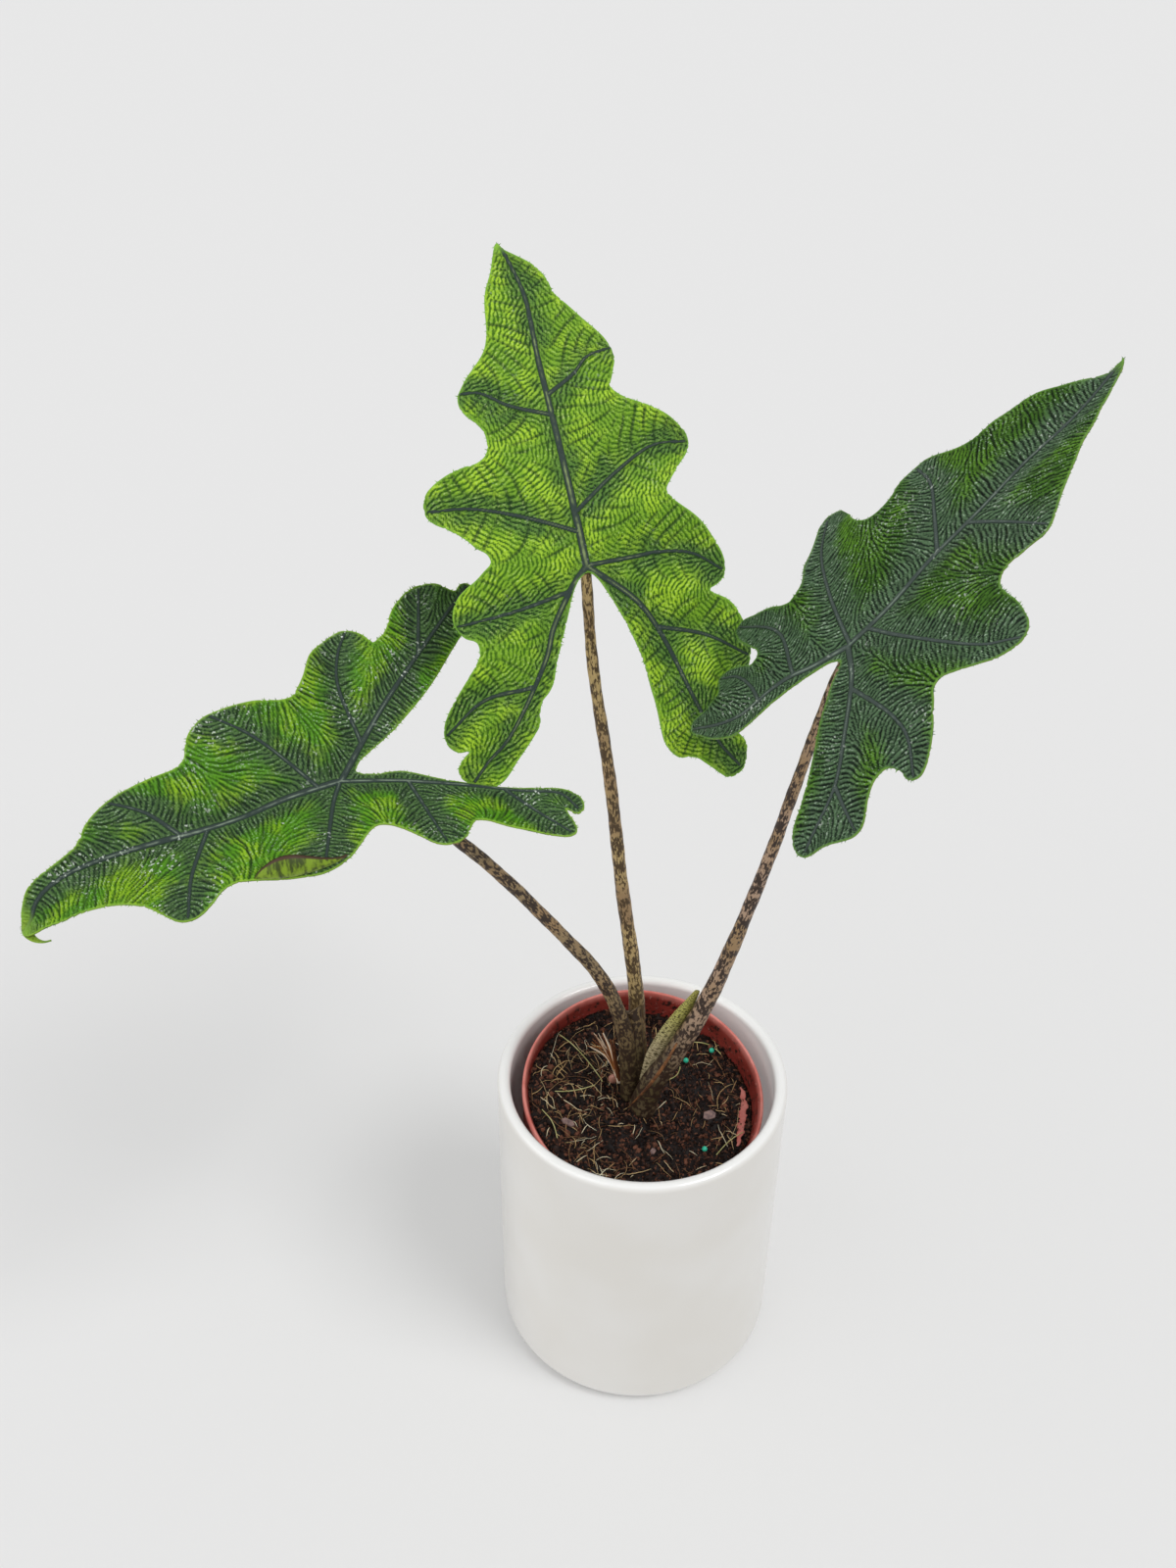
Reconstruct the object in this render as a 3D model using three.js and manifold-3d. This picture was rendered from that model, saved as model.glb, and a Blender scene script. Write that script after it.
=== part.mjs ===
// A potted jacklyn alocasia: three lobed arrow-shaped leaves on mottled stalks, in a plastic nursery pot
// that leans a little inside a white glazed cover pot. Millimetres, +Z up, origin at the centre of the
// cover pot's base. The plant's front faces -Y.
import * as THREE from 'three';
import { mergeVertices } from 'three/addons/utils/BufferGeometryUtils.js';
import Module from 'manifold-3d';

const wasm = await Module();
wasm.setup();

// Cover pot
const COVER_RADIUS = 72;
const COVER_HEIGHT = 173;
const COVER_BORE_RADIUS = 65.6;
const COVER_FLOOR = 8;
const FOOT_ROUND = 9;
const COVER_SIDES = 60;

// Nursery pot. Its own frame has the rim's centre at the origin and +Z out of the pot.
const NURSERY_RIM_RADIUS = 60.5;
const NURSERY_RIM_WIDTH = 3;
const NURSERY_RIM_DEPTH = 4;
const NURSERY_COLLAR = 20;
const NURSERY_STEP = 2.5;
const NURSERY_WALL = 1.6;
const NURSERY_BASE_RADIUS = 35.5;
const NURSERY_HEIGHT = 152;
const NURSERY_RIM_CENTRE = [0.8, -3, 164.5];
const LEAN_FORWARD = THREE.MathUtils.degToRad(10.8);
const LEAN_RIGHT = THREE.MathUtils.degToRad(5.3);
const NURSERY_SIDES = 52;

// Soil surface, measured down from the nursery rim
const SOIL_DEPTH = 8;
const SOIL_FALL_BACK = 5.5;
const SOIL_FALL_RIGHT = 4;
const SOIL_LUMP = 0.9;
const SOIL_RINGS = 9;
const SOIL_SIDES = 48;

// Fits and blades
const GAP = 0.3;
const BLADE_THICKNESS = 0.8;
const BLADE_SPACING = 6.4;
const EDGE_SPACING = 4.8;
const RIB_FLANK = 1.9;
const QUILT_HEIGHT = 2.2;
const QUILT_REACH = 9;

// A blade's outline and veins are flat, in mm from the top of its stalk: the first number runs across the
// blade, to the right as seen from above looking to the tip, and the second runs along the midrib.
// heading and rise are the midrib's direction at the stalk, tilt turns the blade about its midrib.
// bend and lobeBend are the midrib's curvature ahead of and behind the stalk. fold lifts each half from
// the midrib, and droop curves it back down.
const LEAVES = {
  left: {
    stalkTop: [-128, -36, 380],
    heading: 215, rise: 5, tilt: 27, bend: -0.0047, lobeBend: 0.0024, fold: 20, droop: 0,
    outline: [
      [-6, 135], [0, 135], [5, 132], [10, 127], [12, 123], [16, 103], [22, 95], [26, 85], [27, 71],
      [27, 57], [30, 53], [35, 51], [41, 43], [42, 34], [41, 22], [38, 9], [44, 2], [53, -5], [56, -11],
      [59, -24], [56, -30], [51, -34], [54, -41], [61, -47], [66, -55], [68, -62], [66, -72], [61, -78],
      [63, -83], [60, -87], [55, -86], [48, -81], [37, -66], [26, -51], [14, -30], [3, -8], [-1, -13],
      [-5, -25], [-19, -41], [-30, -55], [-39, -70], [-45, -79], [-53, -83], [-59, -81], [-60, -78],
      [-55, -74], [-61, -74], [-67, -73], [-69, -70], [-64, -60], [-55, -49], [-45, -38], [-51, -29],
      [-49, -18], [-41, -12], [-32, -4], [-31, 1], [-41, 16], [-43, 26], [-41, 40], [-33, 55],
      [-33, 60], [-38, 69], [-38, 78], [-25, 88], [-18, 96], [-13, 107], [-10, 123],
    ],
    veins: {
      midrib: [[0, 0], [0, 25], [-1, 45], [8, 111], [5, 125], [-4, 134]],
      rightBasal: [[0, 0], [24, -28], [44, -57], [61, -84]],
      leftBasal: [[0, 0], [-10, -23], [-39, -66], [-47, -77], [-57, -79]],
      right: [
        [[3, 67], [16, 75], [25, 85]],
        [[1, 10], [28, 27], [41, 39]],
        [[13, -14], [39, -13], [51, -18], [58, -24]],
        [[41, -52], [66, -63]],
      ],
      left: [
        [[-1, 57], [-19, 69], [-37, 76]],
        [[-1, 1], [-10, 8], [-41, 26]],
        [[-11, -25], [-48, -22]],
        [[-34, -58], [-50, -63], [-67, -70]],
      ],
    },
  },
  middle: {
    stalkTop: [-30, 19, 449],
    heading: 112, rise: 60, tilt: 4, bend: -0.004, lobeBend: -0.0028, fold: -4, droop: 0.0022,
    outline: [
      [-3, 144], [-1, 140], [9, 129], [12, 122], [13, 115], [17, 108], [24, 99], [30, 92], [32, 85],
      [29, 77], [26, 70], [29, 66], [43, 59], [52, 52], [56, 45], [54, 40], [46, 32], [40, 24], [45, 18],
      [52, 11], [60, -3], [62, -11], [59, -17], [52, -19], [61, -26], [65, -33], [69, -46], [68, -54],
      [62, -61], [57, -66], [55, -72], [56, -81], [61, -89], [62, -97], [59, -103], [52, -104],
      [44, -97], [35, -89], [29, -88], [23, -81], [20, -61], [17, -42], [11, -22], [1, -3], [-4, -5],
      [-12, -21], [-19, -38], [-22, -46], [-28, -53], [-29, -60], [-40, -74], [-48, -83], [-55, -85],
      [-61, -82], [-65, -77], [-64, -72], [-59, -67], [-64, -67], [-68, -63], [-68, -56], [-64, -48],
      [-57, -39], [-49, -28], [-49, -23], [-55, -19], [-57, -11], [-53, -3], [-44, 3], [-37, 10],
      [-41, 13], [-46, 19], [-53, 25], [-59, 30], [-59, 38], [-54, 43], [-44, 47], [-33, 49],
      [-30, 53], [-30, 61], [-35, 68], [-37, 75], [-33, 82], [-22, 93], [-19, 100], [-15, 118],
      [-10, 128],
    ],
    veins: {
      midrib: [[0, 0], [-1, 41], [-1, 84], [1, 117], [-2, 141]],
      rightBasal: [[0, 0], [19, -18], [26, -30], [40, -67], [49, -87], [58, -100]],
      leftBasal: [[0, 0], [-7, -7], [-18, -23], [-22, -33], [-43, -65], [-52, -73], [-59, -81]],
      right: [
        [[0, 71], [12, 78], [20, 85], [31, 88]],
        [[0, 22], [20, 35], [39, 44], [54, 44]],
        [[1, 0], [20, 0], [33, 0], [47, -3], [60, -12]],
        [[26, -30], [48, -38], [67, -51]],
      ],
      left: [
        [[-1, 62], [-17, 69], [-28, 77], [-36, 78]],
        [[-1, 14], [-20, 23], [-42, 31], [-58, 33]],
        [[-9, -9], [-32, -13], [-55, -15]],
        [[-30, -45], [-50, -47], [-67, -59]],
      ],
    },
  },
  right: {
    stalkTop: [69, -37, 447],
    heading: 28, rise: 44, tilt: 11, bend: -0.001, lobeBend: -0.004, fold: 8, droop: 0.005,
    outline: [
      [-3, 145], [-2, 139], [-11, 126], [-20, 116], [-25, 102], [-28, 88], [-32, 83], [-43, 75],
      [-45, 69], [-44, 62], [-40, 54], [-41, 44], [-48, 40], [-58, 41], [-67, 40], [-73, 36],
      [-72, 31], [-67, 26], [-60, 19], [-55, 13], [-48, 8], [-44, -1], [-53, -7], [-63, -14],
      [-71, -20], [-71, -24], [-62, -26], [-50, -25], [-39, -24], [-38, -28], [-45, -32], [-53, -37],
      [-57, -43], [-48, -49], [-51, -56], [-57, -65], [-54, -68], [-46, -66], [-39, -64], [-30, -60],
      [-23, -55], [-19, -48], [-10, -25], [-2, -9], [3, -6], [12, -17], [22, -30], [33, -45],
      [42, -66], [46, -69], [52, -68], [54, -64], [60, -57], [65, -51], [66, -45], [61, -33],
      [61, -24], [67, -22], [72, -22], [73, -16], [66, -4], [59, 3], [53, 10], [59, 21], [65, 30],
      [67, 39], [64, 45], [56, 48], [45, 49], [41, 54], [41, 71], [38, 80], [24, 104], [10, 128],
    ],
    veins: {
      midrib: [[0, 0], [3, 20], [2, 44], [3, 68], [2, 92], [3, 116], [-2, 142]],
      rightBasal: [[0, 0], [16, -8], [36, -28], [45, -41], [50, -66]],
      leftBasal: [[0, 0], [-8, -14], [-17, -26], [-27, -47], [-38, -57], [-53, -66]],
      right: [
        [[4, 63], [22, 70], [38, 76]],
        [[3, 10], [22, 15], [55, 29], [66, 39]],
        [[20, -11], [46, -9], [58, -11], [71, -20]],
        [[45, -41], [64, -48]],
      ],
      left: [
        [[2, 47], [-15, 59], [-30, 68], [-43, 70]],
        [[0, 1], [-29, 11], [-54, 22], [-70, 34]],
        [[-15, -21], [-38, -13], [-69, -22]],
        [[-22, -38], [-31, -36], [-44, -37], [-54, -42]],
      ],
    },
  },
};
const RIB_DEPTH = { midrib: 1.5, rightBasal: 1.4, leftBasal: 1.4, right: 0.9, left: 0.9 };

// Stalks run from the stem base in the soil to the underside of the blade, with the radius at foot, middle
// and top. foot is the share of the length that belongs to the stem base, where the stalks grow together.
const STALKS = {
  left: {
    route: [[-5, 2, 148], [-8, -1, 194], [-12, -3, 216], [-22, -7, 246], [-43, -13, 282], [-71, -21, 325],
      [-97, -28, 357], [-112, -32, 370]],
    radii: [4.4, 2.9, 2.7], foot: 0.2,
  },
  middle: {
    route: [[0, 4, 148], [-3, 5, 192], [-4, 6, 219], [-7, 8, 246], [-12, 10, 283], [-19, 14, 346],
      [-27, 17, 403]],
    radii: [4.4, 3, 2.2], foot: 0.18,
  },
  right: {
    route: [[-1, -6, 148], [4, -8, 173], [13, -10, 195], [28, -14, 238], [48, -22, 326], [58, -29, 385],
      [66, -35, 431]],
    radii: [6.2, 3, 1.9], foot: 0.1,
  },
};
const STALK_SIDES = 10;
const STALK_STEPS = 22;
const FOOT_SWELL = 0.8;
const CORM = { centre: [-2, -1, 143], radii: [9.5, 9.5, 12] };

// The sheath of a new leaf clasps the right stalk, and the dried stub stands left of the stem base.
const NEW_SHEATH = {
  route: [[3, -3, 172], [7, -4, 194], [12, -6, 212], [17, -8, 226], [23, -10, 240]],
  widths: [5, 7.2, 7, 5.4, 1.6], thicknesses: [2.4, 2.8, 2.6, 2, 0.8],
};
const OLD_STUB = {
  route: [[-11, 3, 163], [-15, 4, 176], [-19, 4, 190], [-23, 4, 202]],
  widths: [2.2, 4.4, 5.4, 2.6], thicknesses: [1.4, 1.3, 1, 0.7],
};

// Small things on the soil, in the nursery pot's frame
const BUD = { at: [-15, 8], radii: [2.4, 2.2, 2.8] };
const PELLET_RADIUS = 1.4;
const PELLETS = [[23, 25], [31, -27], [37, 34]];
const CHIP_THICKNESS = 1.2;
const CHIPS = [
  { at: [34, -7], size: [7, 5], turn: 0.3 },
  { at: [-37, -20], size: [7.5, 3.2], turn: -0.5 },
  { at: [5, -32], size: [3.4, 2.6], turn: 0.9 },
];
const STRAW_RADIUS = 0.55;
const STRAWS = [
  { from: [-43, 34], to: [-20, 7], bow: 2 },
  { from: [-44, -2], to: [-24, 4], bow: -2 },
  { from: [27, 39], to: [42, 33], bow: 2 },
  { from: [37, -29], to: [51, -15], bow: 1 },
  { from: [-50, -14], to: [-42, -30], bow: 1.5 },
  { from: [14, 13], to: [20, 21], bow: -1.5 },
];
const STRAW_SIDES = 5;

const FINISH = {
  ceramic: { color: '#e4e3e0', roughness: 0.18, metalness: 0 },
  plastic: { color: '#d97a70', roughness: 0.45, metalness: 0 },
  compost: { color: '#2e211b', roughness: 0.95, metalness: 0 },
  stalk: { color: '#8d7a5c', roughness: 0.55, metalness: 0 },
  stemBase: { color: '#4b4030', roughness: 0.6, metalness: 0 },
  paleBlade: { color: '#9fae4c', roughness: 0.4, metalness: 0 },
  greenBlade: { color: '#7d9a45', roughness: 0.4, metalness: 0 },
  darkBlade: { color: '#4f6b43', roughness: 0.4, metalness: 0 },
  sheath: { color: '#8d9350', roughness: 0.5, metalness: 0 },
  dried: { color: '#8a6337', roughness: 0.85, metalness: 0 },
  bud: { color: '#b57468', roughness: 0.5, metalness: 0 },
  pellet: { color: '#2fb193', roughness: 0.35, metalness: 0 },
  bark: { color: '#6c5a58', roughness: 0.85, metalness: 0 },
  straw: { color: '#b59a63', roughness: 0.8, metalness: 0 },
};

function namedMesh(name, geometry, finish) {
  const mesh = new THREE.Mesh(geometry, new THREE.MeshStandardMaterial(finish));
  mesh.name = name;
  return mesh;
}

function vector(point) {
  return new THREE.Vector3(...point);
}

// Booleans

function positionsOnly(geometry) {
  const plain = geometry.clone();
  plain.deleteAttribute('normal');
  plain.deleteAttribute('uv');
  return mergeVertices(plain, 1e-4);
}

function toSolid(geometry) {
  const plain = positionsOnly(geometry);
  return new wasm.Manifold(new wasm.Mesh({
    numProp: 3,
    vertProperties: new Float32Array(plain.attributes.position.array),
    triVerts: new Uint32Array(plain.index.array),
  }));
}

// The geometry of a solid's largest body, so that no loose scrap of a cut is left.
function largestBody(solid) {
  const bodies = solid.decompose().sort((a, b) => b.volume() - a.volume());
  const mesh = bodies[0].getMesh();
  const geometry = new THREE.BufferGeometry();
  geometry.setAttribute('position', new THREE.BufferAttribute(new Float32Array(mesh.vertProperties), 3));
  geometry.setIndex(new THREE.BufferAttribute(new Uint32Array(mesh.triVerts), 1));
  return geometry;
}

function closedGeometry(points, triangles) {
  const geometry = new THREE.BufferGeometry();
  geometry.setAttribute('position', new THREE.Float32BufferAttribute(points.flatMap((p) => [p.x, p.y, p.z]), 3));
  geometry.setIndex(triangles.flat());
  return geometry;
}

// A tube of elliptical section through a route. halfWidth and halfThickness are functions of the share of
// the length, and wide is the direction in which the section is wide.
function taperedTube(curve, halfWidth, halfThickness, wide, steps, sides, from = 0, to = 1) {
  const points = [];
  for (let i = 0; i <= steps; i++) {
    const share = from + ((to - from) * i) / steps;
    const centre = curve.getPointAt(share);
    const tangent = curve.getTangentAt(share);
    const across = wide.clone().addScaledVector(tangent, -wide.dot(tangent)).normalize();
    const through = new THREE.Vector3().crossVectors(tangent, across);
    for (let j = 0; j < sides; j++) {
      const angle = (2 * Math.PI * j) / sides;
      points.push(centre.clone()
        .addScaledVector(across, halfWidth(share) * Math.cos(angle))
        .addScaledVector(through, halfThickness(share) * Math.sin(angle)));
    }
  }
  const first = points.push(curve.getPointAt(from)) - 1;
  const last = points.push(curve.getPointAt(to)) - 1;
  const triangles = [];
  for (let i = 0; i < steps; i++) {
    for (let j = 0; j < sides; j++) {
      const next = (j + 1) % sides;
      const [a, b, c, d] = [i * sides + j, i * sides + next, (i + 1) * sides + next, (i + 1) * sides + j];
      triangles.push([a, b, c], [a, c, d]);
    }
  }
  for (let j = 0; j < sides; j++) {
    const next = (j + 1) % sides;
    triangles.push([first, next, j], [last, steps * sides + j, steps * sides + next]);
  }
  return closedGeometry(points, triangles);
}

function route(points) {
  return new THREE.CatmullRomCurve3(points.map(vector), false, 'centripetal');
}

// A value that runs evenly through a list of values as the share goes from 0 to 1.
function along(values) {
  return (share) => {
    const place = Math.min(Math.max(share, 0), 1) * (values.length - 1);
    const low = Math.min(Math.floor(place), values.length - 2);
    return THREE.MathUtils.lerp(values[low], values[low + 1], place - low);
  };
}

// Pots

function coverPotGeometry() {
  const rimThickness = COVER_RADIUS - COVER_BORE_RADIUS;
  const rimCentre = COVER_RADIUS - rimThickness / 2;
  const profile = [[0, 0]];
  for (let i = 0; i <= 5; i++) {
    const angle = (Math.PI / 2) * (i / 5);
    profile.push([COVER_RADIUS - FOOT_ROUND * (1 - Math.sin(angle)), FOOT_ROUND * (1 - Math.cos(angle))]);
  }
  for (let i = 0; i <= 6; i++) {
    const angle = Math.PI * (i / 6);
    profile.push([
      rimCentre + (rimThickness / 2) * Math.cos(angle),
      COVER_HEIGHT - rimThickness / 2 + (rimThickness / 2) * Math.sin(angle),
    ]);
  }
  profile.push([COVER_BORE_RADIUS, COVER_FLOOR], [0, COVER_FLOOR]);
  return new THREE.LatheGeometry(profile.map(([r, z]) => new THREE.Vector2(r, z)), COVER_SIDES)
    .rotateX(Math.PI / 2);
}

// Radius of the nursery pot's outside at a height below its rim.
function nurseryOuterRadius(z) {
  if (z > -NURSERY_COLLAR) {
    return NURSERY_RIM_RADIUS - NURSERY_RIM_WIDTH + 1.2;
  }
  const share = (-z - NURSERY_COLLAR) / (NURSERY_HEIGHT - NURSERY_COLLAR);
  const shoulder = NURSERY_RIM_RADIUS - NURSERY_RIM_WIDTH + 1.2 - NURSERY_STEP;
  return THREE.MathUtils.lerp(shoulder, NURSERY_BASE_RADIUS, share);
}

function nurseryPotGeometry() {
  const collarOuter = nurseryOuterRadius(0);
  const shoulderOuter = nurseryOuterRadius(-NURSERY_COLLAR - 0.01);
  const profile = [
    [0, -NURSERY_HEIGHT],
    [NURSERY_BASE_RADIUS - 1, -NURSERY_HEIGHT],
    [NURSERY_BASE_RADIUS, -NURSERY_HEIGHT + 1],
    [shoulderOuter, -NURSERY_COLLAR - 2],
    [collarOuter, -NURSERY_COLLAR],
    [collarOuter, -NURSERY_RIM_DEPTH],
    [NURSERY_RIM_RADIUS, -NURSERY_RIM_DEPTH + 0.6],
    [NURSERY_RIM_RADIUS, -0.8],
    [NURSERY_RIM_RADIUS - 0.9, 0],
    [collarOuter - NURSERY_WALL + 0.7, 0],
    [collarOuter - NURSERY_WALL, -0.8],
    [collarOuter - NURSERY_WALL, -NURSERY_COLLAR - 0.4],
    [shoulderOuter - NURSERY_WALL, -NURSERY_COLLAR - 2.4],
    [NURSERY_BASE_RADIUS - NURSERY_WALL, -NURSERY_HEIGHT + NURSERY_WALL],
    [0, -NURSERY_HEIGHT + NURSERY_WALL],
  ];
  return new THREE.LatheGeometry(profile.map(([r, z]) => new THREE.Vector2(r, z)), NURSERY_SIDES)
    .rotateX(Math.PI / 2);
}

// Soil

function soilHeight(x, y) {
  const reach = NURSERY_RIM_RADIUS - NURSERY_RIM_WIDTH;
  const plane = -SOIL_DEPTH - (SOIL_FALL_BACK * y) / reach - (SOIL_FALL_RIGHT * x) / reach;
  const lumps = Math.sin(x / 5.3 + 1) * Math.cos(y / 6.1) + 0.6 * Math.sin((x + 1.7 * y) / 8.7);
  return plane + SOIL_LUMP * lumps;
}

function soilGeometry() {
  const collarInner = nurseryOuterRadius(0) - NURSERY_WALL - GAP;
  const points = [new THREE.Vector3(0, 0, soilHeight(0, 0))];
  const triangles = [];
  const ringStart = (ring) => 1 + ring * SOIL_SIDES;
  const addRing = (radius, height) => {
    for (let j = 0; j < SOIL_SIDES; j++) {
      const angle = (2 * Math.PI * j) / SOIL_SIDES;
      const [x, y] = [radius * Math.cos(angle), radius * Math.sin(angle)];
      points.push(new THREE.Vector3(x, y, height === null ? soilHeight(x, y) : height));
    }
  };
  const joinRings = (ring) => {
    for (let j = 0; j < SOIL_SIDES; j++) {
      const next = (j + 1) % SOIL_SIDES;
      const [a, b] = [ringStart(ring) + j, ringStart(ring) + next];
      const [c, d] = [ringStart(ring + 1) + next, ringStart(ring + 1) + j];
      triangles.push([a, d, c], [a, c, b]);
    }
  };
  for (let ring = 1; ring <= SOIL_RINGS; ring++) {
    addRing((collarInner * ring) / SOIL_RINGS, null);
  }
  addRing(collarInner, -NURSERY_COLLAR);
  const shoulderInner = nurseryOuterRadius(-NURSERY_COLLAR - 0.01) - NURSERY_WALL - GAP;
  addRing(shoulderInner, -NURSERY_COLLAR - 2);
  addRing(NURSERY_BASE_RADIUS - NURSERY_WALL - 2 * GAP, -NURSERY_HEIGHT + NURSERY_WALL + GAP);
  for (let j = 0; j < SOIL_SIDES; j++) {
    triangles.push([0, ringStart(0) + j, ringStart(0) + ((j + 1) % SOIL_SIDES)]);
  }
  for (let ring = 0; ring < SOIL_RINGS + 2; ring++) {
    joinRings(ring);
  }
  const bottom = points.push(new THREE.Vector3(0, 0, -NURSERY_HEIGHT + NURSERY_WALL + GAP)) - 1;
  const lastRing = ringStart(SOIL_RINGS + 2);
  for (let j = 0; j < SOIL_SIDES; j++) {
    triangles.push([bottom, lastRing + ((j + 1) % SOIL_SIDES), lastRing + j]);
  }
  return closedGeometry(points, triangles);
}

// Blades

// Maps a flat blade point to its place on the bent blade, with the surface normal there.
class BladeSheet {
  constructor(leaf) {
    const [heading, rise, tilt] = [leaf.heading, leaf.rise, leaf.tilt].map(THREE.MathUtils.degToRad);
    this.leaf = leaf;
    this.fold = THREE.MathUtils.degToRad(leaf.fold);
    this.forward = new THREE.Vector3(
      Math.cos(rise) * Math.cos(heading), Math.cos(rise) * Math.sin(heading), Math.sin(rise));
    const level = this.forward.clone().cross(new THREE.Vector3(0, 0, 1)).normalize();
    const upright = level.clone().cross(this.forward);
    this.across = level.multiplyScalar(Math.cos(tilt)).addScaledVector(upright, Math.sin(tilt));
    this.up = this.across.clone().cross(this.forward);
    this.veins = Object.entries(leaf.veins).flatMap(([name, vein]) => {
      const lines = typeof vein[0][0] === 'number' ? [vein] : vein;
      return lines.map((line) => ({ depth: RIB_DEPTH[name], points: veinPoints(line) }));
    });
  }

  // How far the blade is arched up between its veins.
  quilt(u, v) {
    let nearest = Infinity;
    for (const vein of this.veins) {
      for (const point of vein.points) {
        nearest = Math.min(nearest, Math.hypot(point.x - u, point.y - v));
      }
    }
    return QUILT_HEIGHT * (1 - Math.exp(-((nearest / QUILT_REACH) ** 2)));
  }

  place(u, v, lift) {
    const curvature = v > 0 ? this.leaf.bend : this.leaf.lobeBend;
    const turn = curvature * v;
    const ahead = Math.sin(turn) / curvature;
    const above = (1 - Math.cos(turn)) / curvature;
    const localUp = this.forward.clone().multiplyScalar(-Math.sin(turn))
      .addScaledVector(this.up, Math.cos(turn));
    const side = Math.sign(u);
    const chord = this.fold - (this.leaf.droop * Math.abs(u)) / 2;
    const slope = this.fold - this.leaf.droop * Math.abs(u);
    const normal = localUp.clone().multiplyScalar(Math.cos(slope))
      .addScaledVector(this.across, -side * Math.sin(slope));
    return vector(this.leaf.stalkTop)
      .addScaledVector(this.forward, ahead)
      .addScaledVector(this.up, above)
      .addScaledVector(this.across, u * Math.cos(chord))
      .addScaledVector(localUp, Math.abs(u) * Math.sin(chord))
      .addScaledVector(normal, lift);
  }
}

function flatCurve(points, closed) {
  const curve = new THREE.CatmullRomCurve3(points.map(([u, v]) => new THREE.Vector3(u, v, 0)), closed,
    'centripetal');
  curve.arcLengthDivisions = 1200;
  return curve;
}

function veinPoints(line) {
  const curve = flatCurve(line, false);
  const steps = Math.max(2, Math.round(curve.getLength() / BLADE_SPACING));
  return curve.getSpacedPoints(steps);
}

function insideOutline(u, v, outline) {
  let inside = false;
  for (let i = 0, j = outline.length - 1; i < outline.length; j = i++) {
    const [a, b] = [outline[i], outline[j]];
    if ((a.y > v) !== (b.y > v) && u < ((b.x - a.x) * (v - a.y)) / (b.y - a.y) + a.x) {
      inside = !inside;
    }
  }
  return inside;
}

function edgeDistance(u, v, outline) {
  let nearest = Infinity;
  for (let i = 0; i < outline.length; i++) {
    const [a, b] = [outline[i], outline[(i + 1) % outline.length]];
    const [dx, dy] = [b.x - a.x, b.y - a.y];
    const share = Math.min(Math.max(((u - a.x) * dx + (v - a.y) * dy) / (dx * dx + dy * dy), 0), 1);
    nearest = Math.min(nearest, Math.hypot(a.x + share * dx - u, a.y + share * dy - v));
  }
  return nearest;
}

// The flat points that a blade is split at: its edge, its veins with a flank on each side, and a
// staggered lattice between them. rib is the depth of the vein under the point.
function bladePoints(sheet) {
  const edgeCurve = flatCurve(sheet.leaf.outline, true);
  const edge = edgeCurve.getSpacedPoints(Math.round(edgeCurve.getLength() / EDGE_SPACING)).slice(0, -1);
  const points = edge.map((p) => ({ u: p.x, v: p.y, rib: 0 }));
  const add = (u, v, rib, clearance, edgeClearance) => {
    if (!insideOutline(u, v, edge) || edgeDistance(u, v, edge) < edgeClearance) {
      return;
    }
    if (points.every((p) => Math.hypot(p.u - u, p.v - v) > clearance)) {
      points.push({ u, v, rib });
    }
  };
  for (const vein of sheet.veins) {
    vein.points.forEach((p, i) => {
      const taper = 1 - (0.75 * i) / vein.points.length;
      add(p.x, p.y, vein.depth * taper, 1.2, 1.4);
    });
  }
  for (const vein of sheet.veins) {
    vein.points.forEach((p, i) => {
      const before = vein.points[Math.max(i - 1, 0)];
      const after = vein.points[Math.min(i + 1, vein.points.length - 1)];
      const length = Math.hypot(after.x - before.x, after.y - before.y);
      const [nx, ny] = [-(after.y - before.y) / length, (after.x - before.x) / length];
      add(p.x + nx * RIB_FLANK, p.y + ny * RIB_FLANK, 0, 1.5, 1.6);
      add(p.x - nx * RIB_FLANK, p.y - ny * RIB_FLANK, 0, 1.5, 1.6);
    });
  }
  const rowHeight = (BLADE_SPACING * Math.sqrt(3)) / 2;
  for (let row = -30; row <= 35; row++) {
    for (let column = -18; column <= 18; column++) {
      const shift = row % 2 === 0 ? 0 : BLADE_SPACING / 2;
      add(column * BLADE_SPACING + shift, row * rowHeight, 0, BLADE_SPACING * 0.62, BLADE_SPACING * 0.5);
    }
  }
  return { points, edge };
}

function circumcircle(a, b, c) {
  const [bx, by, cx, cy] = [b.u - a.u, b.v - a.v, c.u - a.u, c.v - a.v];
  const d = 2 * (bx * cy - by * cx);
  const x = (cy * (bx * bx + by * by) - by * (cx * cx + cy * cy)) / d;
  const y = (bx * (cx * cx + cy * cy) - cx * (bx * bx + by * by)) / d;
  return { x: a.u + x, y: a.v + y, square: x * x + y * y };
}

// Splits flat points into triangles whose circles hold no other point, adding one point at a time.
function triangulate(points) {
  const span = 1000;
  const all = [...points, { u: -span, v: -span }, { u: span, v: -span }, { u: 0, v: 1.8 * span }];
  const n = points.length;
  const triangle = (i, j, k) => ({ corners: [i, j, k], circle: circumcircle(all[i], all[j], all[k]) });
  let triangles = [triangle(n, n + 1, n + 2)];
  points.forEach((p, index) => {
    const border = new Map();
    const kept = [];
    for (const t of triangles) {
      if ((p.u - t.circle.x) ** 2 + (p.v - t.circle.y) ** 2 < t.circle.square) {
        for (let e = 0; e < 3; e++) {
          const [i, j] = [t.corners[e], t.corners[(e + 1) % 3]];
          if (!border.delete(`${j},${i}`)) {
            border.set(`${i},${j}`, [i, j]);
          }
        }
      } else {
        kept.push(t);
      }
    }
    triangles = kept;
    for (const [i, j] of border.values()) {
      triangles.push(triangle(i, j, index));
    }
  });
  return triangles.map((t) => t.corners).filter((t) => t.every((i) => i < n));
}

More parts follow.
